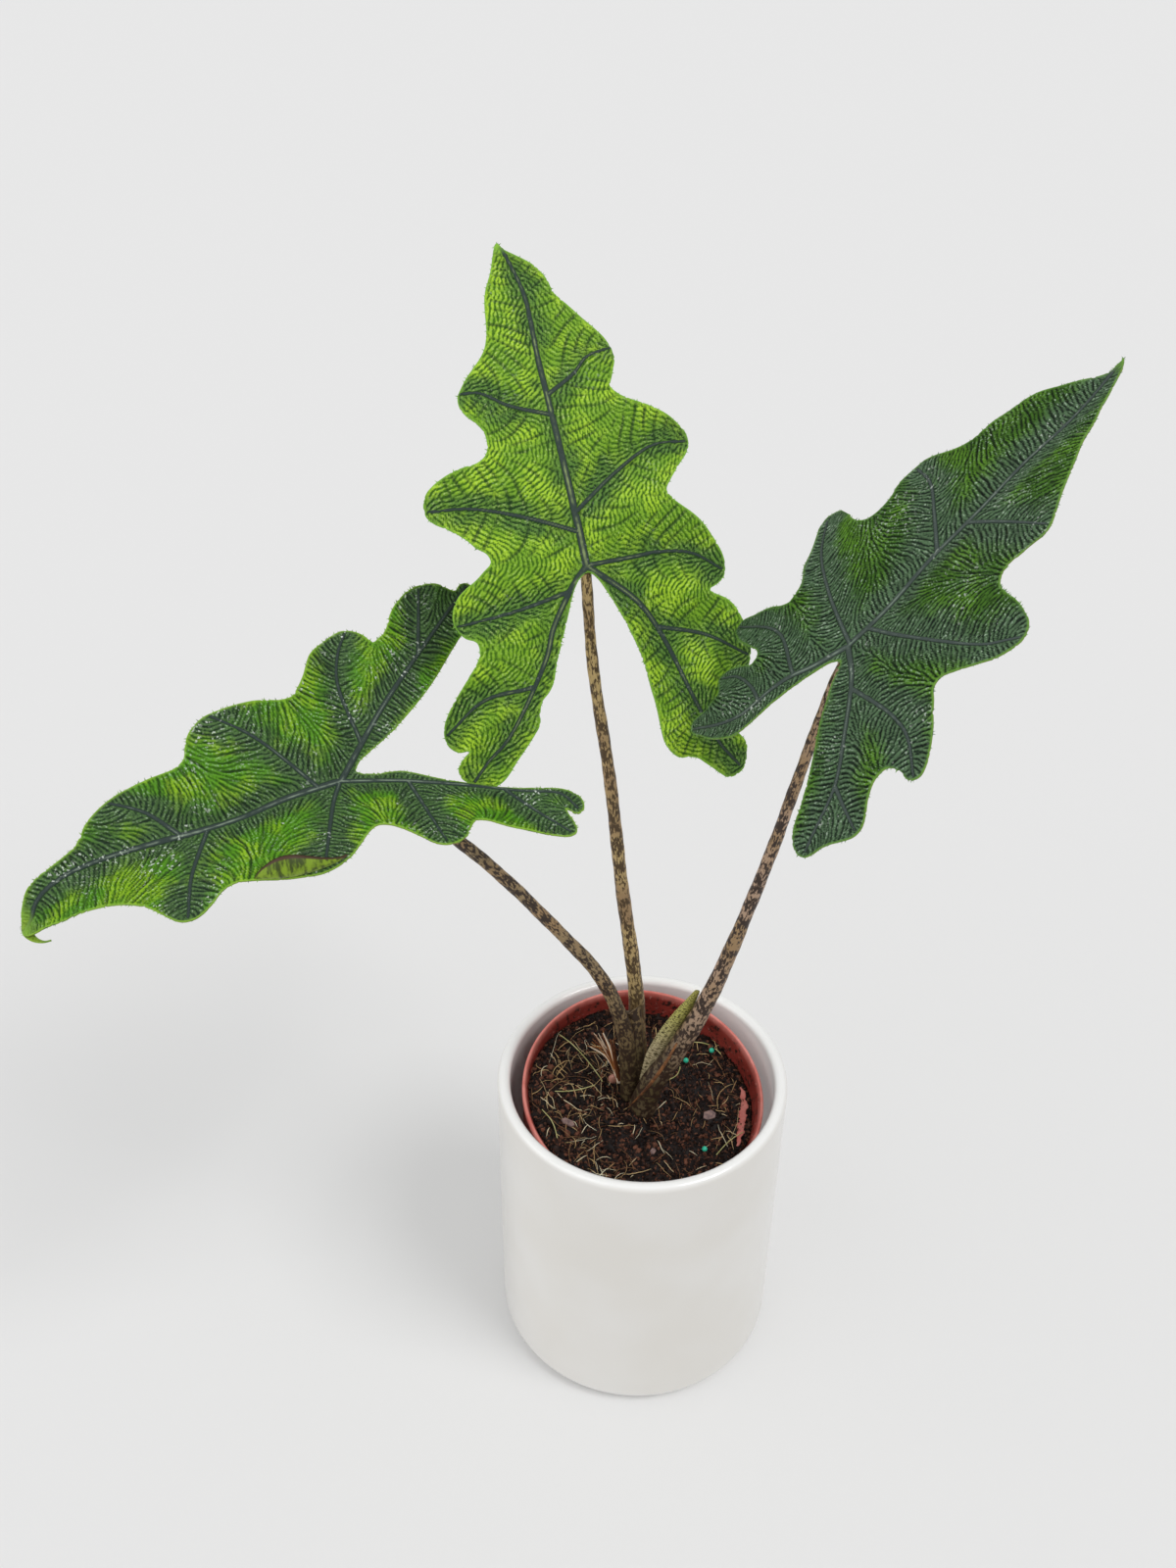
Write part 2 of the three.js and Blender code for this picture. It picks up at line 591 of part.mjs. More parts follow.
// One blade, waved and ribbed, split alike on both faces. above and below thicken it for a cutting copy.
function bladeGeometry(sheet, above = 0, below = 0) {
  const { points, edge } = sheet.flat ?? (sheet.flat = bladePoints(sheet));
  const flatTriangles = sheet.triangles ?? (sheet.triangles = triangulate(points).filter(([i, j, k]) => {
    const centre = [(points[i].u + points[j].u + points[k].u) / 3, (points[i].v + points[j].v + points[k].v) / 3];
    return insideOutline(...centre, edge);
  }));
  const top = points.map(({ u, v, rib }) => sheet.place(u, v, sheet.quilt(u, v) + 0.25 * rib + above));
  const bottom = points.map(({ u, v, rib }) => {
    return sheet.place(u, v, sheet.quilt(u, v) - BLADE_THICKNESS - rib - below);
  });
  const n = points.length;
  const triangles = [];
  const border = new Map();
  for (const [i, j, k] of flatTriangles) {
    triangles.push([i, j, k], [n + i, n + k, n + j]);
    for (const [a, b] of [[i, j], [j, k], [k, i]]) {
      if (!border.delete(`${b},${a}`)) {
        border.set(`${a},${b}`, [a, b]);
      }
    }
  }
  for (const [a, b] of border.values()) {
    triangles.push([a, n + a, n + b], [a, n + b, b]);
  }
  return closedGeometry([...top, ...bottom], triangles);
}

// Stalks and stem base

function stalkRoute(side) {
  const seat = BLADE_THICKNESS + RIB_DEPTH.midrib;
  return route([...STALKS[side].route, sheets[side].place(0, 0, -seat).toArray()]);
}

function stalkGeometry(side, grow, from, to, steps) {
  const radius = (share) => along(STALKS[side].radii)(share) + grow;
  return taperedTube(stalkRoute(side), radius, radius, new THREE.Vector3(0, 1, 0), steps, STALK_SIDES,
    from, to);
}

function cormGeometry(grow) {
  return new THREE.SphereGeometry(1, 18, 12)
    .scale(...CORM.radii.map((r) => r + grow))
    .translate(...CORM.centre);
}

function stemBaseSolid(grow) {
  return Object.keys(STALKS)
    .map((side) => toSolid(stalkGeometry(side, FOOT_SWELL + grow, 0, STALKS[side].foot, 7)))
    .reduce((whole, foot) => whole.add(foot), toSolid(cormGeometry(grow)));
}

function strip(shape, steps, sides) {
  const wide = new THREE.Vector3(1, 0.25, -0.2).normalize();
  return taperedTube(route(shape.route), along(shape.widths), along(shape.thicknesses), wide, steps, sides);
}

// Small things on the soil

// The highest soil under a round footprint.
function seatHeight(x, y, radius) {
  let highest = soilHeight(x, y);
  for (let j = 0; j < 12; j++) {
    const angle = (2 * Math.PI * j) / 12;
    for (const r of [radius / 2, radius]) {
      highest = Math.max(highest, soilHeight(x + r * Math.cos(angle), y + r * Math.sin(angle)));
    }
  }
  return highest + GAP;
}

function chipGeometry(size) {
  const [halfLength, halfWidth] = size.map((s) => s / 2);
  const outline = new THREE.Shape([
    new THREE.Vector2(-halfLength, -halfWidth * 0.4), new THREE.Vector2(-halfLength * 0.5, -halfWidth),
    new THREE.Vector2(halfLength * 0.7, -halfWidth * 0.8), new THREE.Vector2(halfLength, halfWidth * 0.1),
    new THREE.Vector2(halfLength * 0.5, halfWidth), new THREE.Vector2(-halfLength * 0.6, halfWidth * 0.8),
  ]);
  return new THREE.ExtrudeGeometry(outline, { depth: CHIP_THICKNESS, bevelEnabled: false });
}

function strawGeometry({ from, to, bow }) {
  const length = Math.hypot(to[0] - from[0], to[1] - from[1]);
  const [nx, ny] = [-(to[1] - from[1]) / length, (to[0] - from[0]) / length];
  const points = [];
  for (let i = 0; i <= 6; i++) {
    const share = i / 6;
    const x = THREE.MathUtils.lerp(from[0], to[0], share) + nx * bow * Math.sin(Math.PI * share);
    const y = THREE.MathUtils.lerp(from[1], to[1], share) + ny * bow * Math.sin(Math.PI * share);
    points.push([x, y, seatHeight(x, y, 1.5) + STRAW_RADIUS]);
  }
  const radius = (share) => STRAW_RADIUS * (0.7 + 0.6 * Math.sin(Math.PI * share));
  return taperedTube(route(points), radius, radius, new THREE.Vector3(0, 0, 1), 12, STRAW_SIDES);
}

// Assembly

const sheets = Object.fromEntries(
  Object.entries(LEAVES).map(([side, leaf]) => [side, new BladeSheet(leaf)]));
const plant = new THREE.Group();
plant.add(namedMesh('cover_pot', coverPotGeometry(), FINISH.ceramic));

const nursery = new THREE.Group();
nursery.position.set(...NURSERY_RIM_CENTRE);
nursery.rotation.set(LEAN_FORWARD, LEAN_RIGHT, 0, 'YXZ');
nursery.updateMatrixWorld();
plant.add(nursery);
nursery.add(namedMesh('nursery_pot', nurseryPotGeometry(), FINISH.plastic));

const intoNursery = nursery.matrixWorld.clone().invert();
const stemHole = toSolid(largestBody(stemBaseSolid(GAP)).applyMatrix4(intoNursery));
const soil = toSolid(soilGeometry()).subtract(stemHole);
nursery.add(namedMesh('soil', largestBody(soil), FINISH.compost));

plant.add(namedMesh('stem_base', largestBody(stemBaseSolid(0)), FINISH.stemBase));

const BLADE_FINISH = { left: FINISH.greenBlade, middle: FINISH.paleBlade, right: FINISH.darkBlade };
for (const [side, sheet] of Object.entries(sheets)) {
  plant.add(namedMesh(`blade_${side}`, bladeGeometry(sheet), BLADE_FINISH[side]));
  const start = STALKS[side].foot + GAP / stalkRoute(side).getLength();
  const tube = toSolid(stalkGeometry(side, 0, start, 1, STALK_STEPS));
  const cutting = toSolid(bladeGeometry(sheet, 6, GAP)).add(stemBaseSolid(GAP));
  plant.add(namedMesh(`stalk_${side}`, largestBody(tube.subtract(cutting)), FINISH.stalk));
}

const aroundSheath = ['right', 'middle']
  .map((side) => toSolid(stalkGeometry(side, GAP, 0, 1, STALK_STEPS)))
  .reduce((whole, tube) => whole.add(tube), stemBaseSolid(GAP));
plant.add(namedMesh('new_sheath', largestBody(toSolid(strip(NEW_SHEATH, 14, 10)).subtract(aroundSheath)),
  FINISH.sheath));
plant.add(namedMesh('old_stub', largestBody(toSolid(strip(OLD_STUB, 8, 8)).subtract(aroundSheath)),
  FINISH.dried));

const bud = namedMesh('bud', new THREE.SphereGeometry(1, 12, 8).scale(...BUD.radii), FINISH.bud);
bud.position.set(...BUD.at, seatHeight(...BUD.at, BUD.radii[0]) + BUD.radii[2]);
nursery.add(bud);
PELLETS.forEach(([x, y], i) => {
  const pellet = namedMesh(`pellet_${i + 1}`, new THREE.IcosahedronGeometry(PELLET_RADIUS, 1), FINISH.pellet);
  pellet.position.set(x, y, seatHeight(x, y, PELLET_RADIUS) + PELLET_RADIUS);
  nursery.add(pellet);
});
CHIPS.forEach(({ at, size, turn }, i) => {
  const chip = namedMesh(`bark_chip_${i + 1}`, chipGeometry(size), FINISH.bark);
  chip.position.set(...at, seatHeight(...at, size[0] / 2));
  chip.rotation.z = turn;
  nursery.add(chip);
});
STRAWS.forEach((straw, i) => {
  nursery.add(namedMesh(`straw_${i + 1}`, strawGeometry(straw), FINISH.straw));
});

export default plant;
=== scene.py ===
"""Looks of a potted jacklyn alocasia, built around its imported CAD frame.

The blades are regrown as fine sheets with raised veins and a net of fingerprint-like ridges, the stalks as
smooth mottled tubes, the soil as a lumpy surface with crumbs and loose fibres, and the two pots as finely
turned walls. Lengths are millimetres until a mesh is made.
"""

import logging
import math
from dataclasses import dataclass, field
from enum import Enum
from typing import Callable, Sequence

import bpy
import numpy as np
from mathutils import Matrix, Vector


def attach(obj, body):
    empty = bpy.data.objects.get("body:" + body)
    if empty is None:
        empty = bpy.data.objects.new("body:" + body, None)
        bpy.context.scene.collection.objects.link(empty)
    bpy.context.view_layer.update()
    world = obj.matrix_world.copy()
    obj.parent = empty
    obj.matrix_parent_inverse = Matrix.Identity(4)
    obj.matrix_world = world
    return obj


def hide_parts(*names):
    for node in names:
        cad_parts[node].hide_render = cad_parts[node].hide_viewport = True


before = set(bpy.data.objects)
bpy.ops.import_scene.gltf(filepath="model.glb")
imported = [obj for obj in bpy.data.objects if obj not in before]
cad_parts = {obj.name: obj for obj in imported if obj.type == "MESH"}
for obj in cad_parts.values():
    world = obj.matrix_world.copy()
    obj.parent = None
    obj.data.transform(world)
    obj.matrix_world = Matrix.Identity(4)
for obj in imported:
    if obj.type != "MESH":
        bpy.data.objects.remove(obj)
LOG = logging.getLogger("alocasia")

MM = 0.001
BODY = "root"

# The nursery pot and its soil, as the CAD part has them
NURSERY_COLLAR = 20.0
NURSERY_HEIGHT = 152.0
NURSERY_CENTRE = (0.8, -3.0, 164.5)
LEAN_FORWARD = math.radians(10.8)
LEAN_RIGHT = math.radians(5.3)
SOIL_RADIUS = 56.6
SOIL_FOOT = 2.5 - NURSERY_HEIGHT
# Ends of the CAD part's straws, across and back on the soil, with how far each is bowed
STRAWS = (((-43, 34), (-20, 7), 2), ((-44, -2), (-24, 4), -2), ((27, 39), (42, 33), 2),
          ((37, -29), (51, -15), 1), ((-50, -14), (-42, -30), 1.5), ((14, 13), (20, 21), -1.5))

# The blades' relief. Their finest real ridges are about 1 mm apart, too fine to show, and are drawn wider.
GRID = 0.6
BLADE_THICKNESS = 0.8
RIDGE_PERIOD = 1.8
CREST_SHARE = 0.7
LINE_DEPTH = 0.5
QUILT_HEIGHT = 2.2
QUILT_REACH = 9.0
VEIN_RISE = 0.55
VEIN_GROOVE = 0.22
RIB_DEPTH = 1.3
RIB_WIDTH = 1.75
WAVE_HEIGHT = 0.5
WAVE_SIZE = 9
WAVE_REACH = 7
EDGE_BAND = 0.75
CALM_EDGE = 1.6
TIP_LENGTH = 7
TIP_SHARE = 0.7
# Distance from the veins at which a blade starts to open between them, and over which it does
OPEN_FROM = 3.5
OPEN_SPAN = 13
# Half-widths of the veins at their roots and tips
MIDRIB_WIDTHS = (1.9, 0.8)
BASAL_WIDTHS = (1.5, 0.65)
LATERAL_WIDTHS = (1.05, 0.55)
# How often the ridges' directions are relaxed, and a place is sought on a bent blade
RELAX_STEPS = 500
NEWTON_STEPS = 14

Colour = tuple[float, float, float, float]
Points = np.ndarray
Faces = list[tuple[int, ...]]
Socket = bpy.types.NodeSocket
Section = Callable[[np.ndarray, np.ndarray], tuple[np.ndarray, np.ndarray]]


class Side(Enum):
    """The three leaves, as the photo shows them."""

    LEFT = "left"
    MIDDLE = "middle"
    RIGHT = "right"


# Meshes


def mesh_piece(name: str, points: Points, faces: Sequence[Sequence[int]], finish: bpy.types.Material,
               attributes: dict[str, np.ndarray] | None = None, smooth: bool = True) -> bpy.types.Object:
    """Makes a piece from points in millimetres.

    Args:
        name: The object's name.
        points: One row of x, y, z for each vertex.
        faces: Vertex numbers of each face.
        finish: The material.
        attributes: Values for each vertex, by name.
        smooth: Whether the faces are shaded smooth.

    Returns:
        The new object, at the origin.
    """
    mesh = bpy.data.meshes.new(name)
    mesh.from_pydata(np.asarray(points, float) * MM, [], [tuple(int(i) for i in f) for f in faces])
    mesh.polygons.foreach_set("use_smooth", [smooth] * len(mesh.polygons))
    for key, values in (attributes or {}).items():
        layer = mesh.attributes.new(key, "FLOAT", "POINT")
        layer.data.foreach_set("value", np.asarray(values, np.float32))
    mesh.materials.append(finish)
    mesh.update()
    piece = bpy.data.objects.new(name, mesh)
    bpy.context.scene.collection.objects.link(piece)
    return piece


def fit_to_frame(piece: bpy.types.Object, slot: str, *nodes: str) -> bpy.types.Object:
    """Lets a piece ride on the plant's body and hides the CAD nodes it stands for.

    Args:
        piece: The piece.
        slot: Its material slot in the record; not used.
        nodes: The CAD nodes it stands for.

    Returns:
        The same piece.
    """
    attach(piece, BODY)
    if nodes:
        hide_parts(*nodes)
    return piece


def grid_faces(rows: int, columns: int, closed: bool = True) -> Faces:
    """The quads of a grid of vertices whose columns run round, or end, at the last one.

    Args:
        rows: How many rows of vertices there are.
        columns: How many vertices each row has.
        closed: Whether the last column joins the first.

    Returns:
        The quads, row by row.
    """
    i, j = np.meshgrid(np.arange(rows - 1), np.arange(columns if closed else columns - 1), indexing="ij")
    k = (j + 1) % columns
    quads = np.stack([i * columns + j, i * columns + k, (i + 1) * columns + k, (i + 1) * columns + j], -1)
    return [tuple(quad) for quad in quads.reshape(-1, 4)]


def stacked(rings: np.ndarray, first: Sequence[float], last: Sequence[float]) -> tuple[Points, Faces]:
    """Closes a stack of rings.

    Args:
        rings: Points by ring, side and coordinate.
        first: The point that closes the first ring.
        last: The point that closes the last ring.

    Returns:
        The vertices and faces of a closed body.
    """
    count, sides = rings.shape[:2]
    points = np.concatenate([rings.reshape(-1, 3), [first], [last]])
    faces = grid_faces(count, sides)
    low, high, top = len(points) - 2, len(points) - 1, (count - 1) * sides
    for j in range(sides):
        after = (j + 1) % sides
        faces += [(low, after, j), (high, top + j, top + after)]
    return points, faces


def lathe(profile: Sequence[tuple[float, float]], sides: int) -> tuple[Points, Faces]:
    """Turns a profile about +Z.

    Args:
        profile: Radius and height of each ring, the first and last of which lie on the axis.
        sides: How many sides the turned body has.

    Returns:
        The vertices and faces of a closed body.
    """
    angle = np.arange(sides) * 2 * math.pi / sides
    rings = [np.stack([r * np.cos(angle), r * np.sin(angle), np.full(sides, z)], -1)
             for r, z in profile[1:-1]]
    return stacked(np.stack(rings), (0, 0, profile[0][1]), (0, 0, profile[-1][1]))


def spline(points: Sequence[Sequence[float]], spacing: float, closed: bool = False) -> Points:
    """A smooth centripetal curve through points.

    Args:
        points: The points that the curve passes through.
        spacing: Distance between the samples.
        closed: Whether the curve runs back to its first point.

    Returns:
        Samples at an even distance along the curve.
    """
    p = np.asarray(points, float)
    if closed:
        p = np.concatenate([p[-1:], p, p[:2]])
    else:
        p = np.concatenate([2 * p[:1] - p[1:2], p, 2 * p[-1:] - p[-2:-1]])
    dense = []
    for a, b, c, d in zip(p, p[1:], p[2:], p[3:]):
        k0, k1, k2 = (max(math.sqrt(np.linalg.norm(m - n)), 1e-4) for m, n in ((b, a), (c, b), (d, c)))
        start = k1 * ((b - a) / k0 - (c - a) / (k0 + k1) + (c - b) / k1)
        end = k1 * ((c - b) / k1 - (d - b) / (k1 + k2) + (d - c) / k2)
        t = np.linspace(0, 1, 24, endpoint=False)[:, None]
        dense.append(b + start * t + (3 * (c - b) - 2 * start - end) * t**2
                     + (2 * (b - c) + start + end) * t**3)
    dense.append(p[-2:-1])
    line = np.concatenate(dense)
    run = np.concatenate([[0], np.cumsum(np.linalg.norm(np.diff(line, axis=0), axis=1))])
    steps = max(2, round(run[-1] / spacing))
    places = np.linspace(0, run[-1], steps + 1)
    even = np.stack([np.interp(places, run, line[:, i]) for i in range(line.shape[1])], -1)
    return even[:-1] if closed else even


def tube(line: Points, section: Section, sides: int,
         reference: Sequence[float]) -> tuple[Points, Faces, dict[str, np.ndarray]]:
    """A closed tube along a line.

    Args:
        line: The centre line.
        section: Gives the two half-widths from the share of the length and the angle round.
        sides: How many sides the tube has.
        reference: The direction in which the section's first half-width lies.

    Returns:
        The vertices, the faces, and the attributes run (mm along) and turn (0 to 1 round).
    """
    tangent = np.gradient(line, axis=0)
    tangent /= np.linalg.norm(tangent, axis=1, keepdims=True)
    wide = np.asarray(reference, float) - (tangent @ np.asarray(reference, float))[:, None] * tangent
    wide /= np.linalg.norm(wide, axis=1, keepdims=True)
    through = np.cross(tangent, wide)
    share = np.linspace(0, 1, len(line))[:, None]
    angle = (np.arange(sides) * 2 * math.pi / sides)[None, :]
    a, b = section(share, angle)
    rings = line[:, None] + (a * np.cos(angle))[..., None] * wide[:, None]
    rings = rings + (b * np.sin(angle))[..., None] * through[:, None]
    points, faces = stacked(rings, line[0], line[-1])
    length = np.concatenate([[0], np.cumsum(np.linalg.norm(np.diff(line, axis=0), axis=1))])
    run = np.concatenate([np.repeat(length, sides), [0, length[-1]]])
    turn = np.concatenate([np.tile(angle[0] / (2 * math.pi), len(line)), [0, 0]])
    return points, faces, {"run": run, "turn": turn}


def two_faced(front: Points, back: Points, faces: Faces) -> tuple[Points, Faces]:
    """Closes a thin sheet.

    Args:
        front: Points of the sheet's front.
        back: As many points of its back.
        faces: The faces of the front.

    Returns:
        The vertices and faces of the front, the back and the wall round their rim.
    """
    count = len(front)
    known = {(a, b) for f in faces for a, b in zip(f, f[1:] + f[:1])}
    rim = [(a, b) for a, b in known if (b, a) not in known]
    whole = faces + [tuple(i + count for i in reversed(f)) for f in faces]
    whole += [(b, a, a + count, b + count) for a, b in rim]
    return np.concatenate([front, back]), whole


class Bundle:
    """Loose strands gathered into one mesh, each with a tint of its own."""

    def __init__(self) -> None:
        """Starts with no strand."""
        self.points: list[Points] = []
        self.faces: Faces = []
        self.tints: list[np.ndarray] = []

    def add(self, points: Points, faces: Faces, tint: float = 0.0) -> None:
        """Adds one strand.

        Args:
            points: Its vertices.
            faces: Its faces, numbered from its own first vertex.
            tint: Its shade, from 0 to 1.
        """
        start = sum(len(p) for p in self.points)
        self.points.append(points)
        self.faces.extend(tuple(i + start for i in f) for f in faces)
        self.tints.append(np.full(len(points), tint))

    def piece(self, name: str, finish: bpy.types.Material,
              place: Callable[[Points], Points] = np.asarray) -> bpy.types.Object:
        """The strands as one piece, after their points are put in place."""
        return mesh_piece(name, place(np.concatenate(self.points)), self.faces, finish,
                          {"tint": np.concatenate(self.tints)})


def lumps(x: np.ndarray, y: np.ndarray, size: float, seed: int) -> np.ndarray:
    """Smooth seeded noise over a plane.

    Args:
        x: Places across.
        y: Places along.
        size: About how far the lumps are apart.
        seed: Seed of the noise.

    Returns:
        A value from -1 to 1 for each place.
    """
    table = np.random.default_rng(seed).uniform(-1, 1, (64, 64))
    i, j = np.floor(x / size).astype(int), np.floor(y / size).astype(int)
    s, t = x / size - i, y / size - j
    s, t = s * s * (3 - 2 * s), t * t * (3 - 2 * t)
    corner = [table[(i + a) % 64, (j + b) % 64] for a in (0, 1) for b in (0, 1)]
    return (corner[0] * (1 - s) + corner[2] * s) * (1 - t) + (corner[1] * (1 - s) + corner[3] * s) * t


# Nodes


def srgb(code: str) -> Colour:
    """Turns an sRGB hex code into a linear colour.

    Args:
        code: The code, a hash sign and six digits.

    Returns:
        Red, green, blue and an alpha of 1.
    """
    values = [int(code[i:i + 2], 16) / 255 for i in (1, 3, 5)]
    linear = [v / 12.92 if v <= 0.04045 else ((v + 0.055) / 1.055) ** 2.4 for v in values]
    return (*linear, 1.0)


def add_node(tree: bpy.types.NodeTree, kind: str, settings: dict[str | int, object]) -> bpy.types.Node:
    """Adds a node with its settings and links.

    Args:
        tree: The node tree.
        kind: The node's type name, in full or without its ShaderNode.
        settings: By the name of a property of the node, or the name or number of an input: a value, an sRGB
            hex colour, or the output socket that is linked to it.

    Returns:
        The new node.
    """
    full = kind if kind.startswith(("GeometryNode", "FunctionNode", "NodeGroup")) else f"ShaderNode{kind}"
    node = tree.nodes.new(full)
    own = [key for key in settings if isinstance(key, str) and hasattr(node, key)]
    for key in own:
        setattr(node, key, settings[key])
    for key, value in settings.items():
        if key in own:
            continue
        if isinstance(value, Socket):
            tree.links.new(value, node.inputs[key])
        else:
            node.inputs[key].default_value = srgb(value) if str(value).startswith("#") else value
    return node


def new_tree(name: str, inputs: Sequence[str]) -> tuple[bpy.types.NodeTree, dict[str, Socket]]:
    """A Geometry Nodes tree with a geometry output.

    Args:
        name: The tree's name.
        inputs: The name of each of its sizes.

    Returns:
        The tree, and the socket that gives each size.
    """
    tree = bpy.data.node_groups.new(name, "GeometryNodeTree")
    tree.interface.new_socket("Geometry", in_out="OUTPUT", socket_type="NodeSocketGeometry")
    for key in inputs:
        tree.interface.new_socket(key, in_out="INPUT", socket_type="NodeSocketFloat")
    entry = add_node(tree, "NodeGroupInput", {})
    return tree, {key: entry.outputs[key] for key in inputs}


def plain_from_nodes(name: str, tree: bpy.types.NodeTree, instances: Socket, finish: bpy.types.Material,
                     sizes: dict[str, float]) -> bpy.types.Object:
    """Ends a Geometry Nodes tree in real, painted meshes and evaluates it.

    Args:
        name: The new object's name.
        tree: The tree.
        instances: The socket that gives the tree's instances.
        finish: Their material.
        sizes: The value of each of the tree's inputs.

    Returns:
        The result as a plain object.
    """
    real = add_node(tree, "GeometryNodeRealizeInstances", {0: instances})
    painted = add_node(tree, "GeometryNodeSetMaterial", {0: real.outputs[0], "Material": finish})
    add_node(tree, "NodeGroupOutput", {0: painted.outputs[0]})
    carrier = bpy.data.objects.new(name + "_carrier", bpy.data.meshes.new(name + "_carrier"))
    bpy.context.scene.collection.objects.link(carrier)
    modifier = carrier.modifiers.new("nodes", "NODES")
    modifier.node_group = tree
    for item in tree.interface.items_tree:
        if item.in_out == "INPUT":
            modifier[item.identifier] = sizes[item.name]
    bpy.context.view_layer.update()
    evaluated = carrier.evaluated_get(bpy.context.evaluated_depsgraph_get())
    mesh = bpy.data.meshes.new_from_object(evaluated)
    mesh.name = name
    bpy.data.objects.remove(carrier)
    piece = bpy.data.objects.new(name, mesh)
    bpy.context.scene.collection.objects.link(piece)
    return piece


class Surface:
    """The node tree of one procedural material."""

    def __init__(self, name: str, roughness: float, coat: float = 0.0, shine: float = 0.5,
                 reads: Sequence[str] = ()) -> None:
        """Starts the material.

        Args:
            name: The material's name.
            roughness: Its roughness, where nothing is linked to it.
            coat: Weight of the clear coat.
            shine: The specular level.
            reads: The mesh attributes that it reads.
        """
        self.material = bpy.data.materials.new(name)
        self.material.use_nodes = True
        self.tree = self.material.node_tree
        self.shader = self.tree.nodes["Principled BSDF"]
        for key, value in (("Roughness", roughness), ("Coat Weight", coat), ("Specular IOR Level", shine)):
            self.shader.inputs[key].default_value = value
        self.place = self.add("TexCoord", {}, "Object")
        self.mesh = {key: self.add("Attribute", {"attribute_name": key}, "Fac") for key in reads}

    def add(self, kind: str, settings: dict[str | int, object], output: int | str = 0) -> Socket:
        """Adds a node and gives one of its outputs."""
        return add_node(self.tree, kind, settings).outputs[output]

    def grain(self, size: float, detail: float, along: Socket | None = None,
              roughness: float = 0.55) -> dict[str, object]:
        """Settings for noise whose lumps are about size millimetres across."""
        return {"Vector": along or self.place, "Scale": 1 / (size * MM), "Detail": detail,
                "Roughness": roughness}

    def total(self, *terms: float | Socket | tuple[Socket, float]) -> Socket:
        """Adds up terms.

        Args:
            terms: Numbers, sockets, or sockets with their gains.

        Returns:
            Their sum.
        """
        result = 0.0
        for term in terms:
            value, gain = term if isinstance(term, tuple) else (term, 1.0)
            result = self.add("Math", {"operation": "MULTIPLY_ADD", 0: value, 1: gain, 2: result})
        return result

    def product(self, *factors: float | Socket) -> Socket:
        """Multiplies factors.

        Args:
            factors: Numbers or sockets.

        Returns:
            Their product.
        """
        result = factors[0]
        for factor in factors[1:]:
            result = self.add("Math", {"operation": "MULTIPLY", 0: result, 1: factor})
        return result

    def share(self, low: float, high: float, *terms: float | Socket | tuple[Socket, float]) -> Socket:
        """The sum of the terms, turned smoothly into 0 below low and 1 above high."""
        value = terms[0] if len(terms) == 1 else self.total(*terms)
        return self.add("MapRange", {"interpolation_type": "SMOOTHSTEP", "Value": value, "From Min": low,
                                     "From Max": high})

    def blotches(self, size: float, detail: float, low: float, high: float) -> Socket:
        """Blotches about size millimetres across: 0 where their noise is below low, 1 above high."""
        return self.share(low, high, self.add("TexNoise", self.grain(size, detail)))

    def layered(self, base: str | Socket, *layers: tuple[float | Socket, str | Socket]) -> Socket:
        """Lays colours over a base colour in turn.

        Args:
            base: The colour at the bottom.
            layers: The share and the colour of each layer.

        Returns:
            The mixed colour.
        """
        for factor, colour in layers:
            base = self.add("Mix", {"data_type": "RGBA", 0: factor, 6: base, 7: colour}, 2)
        return base

    def close(self, colour: str | Socket, relief: Socket | None = None, depth: float = 0.0,
              strength: float = 1.0, roughness: Socket | None = None) -> bpy.types.Material:
        """Joins what was built to the shader.

        Args:
            colour: The base colour.
            relief: The height that the light shows.
            depth: How high it is, in millimetres.
            strength: How strongly it shows.
            roughness: Roughness that varies.

        Returns:
            The material.
        """
        if isinstance(colour, str):
            self.shader.inputs["Base Color"].default_value = srgb(colour)
        else:
            self.tree.links.new(colour, self.shader.inputs["Base Color"])
        if relief is not None:
            bump = self.add("Bump", {"Height": relief, "Distance": depth * MM, "Strength": strength},
                            "Normal")
            self.tree.links.new(bump, self.shader.inputs["Normal"])
        if roughness is not None:
            self.tree.links.new(roughness, self.shader.inputs["Roughness"])
        return self.material


# Finishes


@dataclass(frozen=True)
class LeafTints:
    """The colours of one blade.

    crest, pale and groove colour the ridges away from the veins, near_crest and near_groove those near them.
    The crests are painted lighter and the grooves darker, as painted highlight and painted shade on the
    ridges, and near_groove also darkens the flanks of the veins as painted shade. The bright parts start
    where the distance from the veins, with blotches, passes open_from and fill the blade from open_to on.
    The highlight colour tints painted glints on the crests and a painted highlight along the veins, and
    the pale spot colour tints painted spots of reflection. The shares say how strongly the painted glints,
    dark lines and painted reflection spots show.
    """

    crest: str
    pale: str
    groove: str
    near_crest: str
    near_groove: str
    line: str
    vein: str
    edge: str
    painted_highlight: str
    open_from: float
    open_to: float
    painted_glint_share: float
    line_share: float
    painted_sheen_share: float
    # Pale colour of painted reflection spots.
    painted_sheen: str = "#d8e2d6"
    under: tuple[str, str, str, str] = ("#8fa048", "#7b8f3a", "#5b6a2c", "#6b5236")


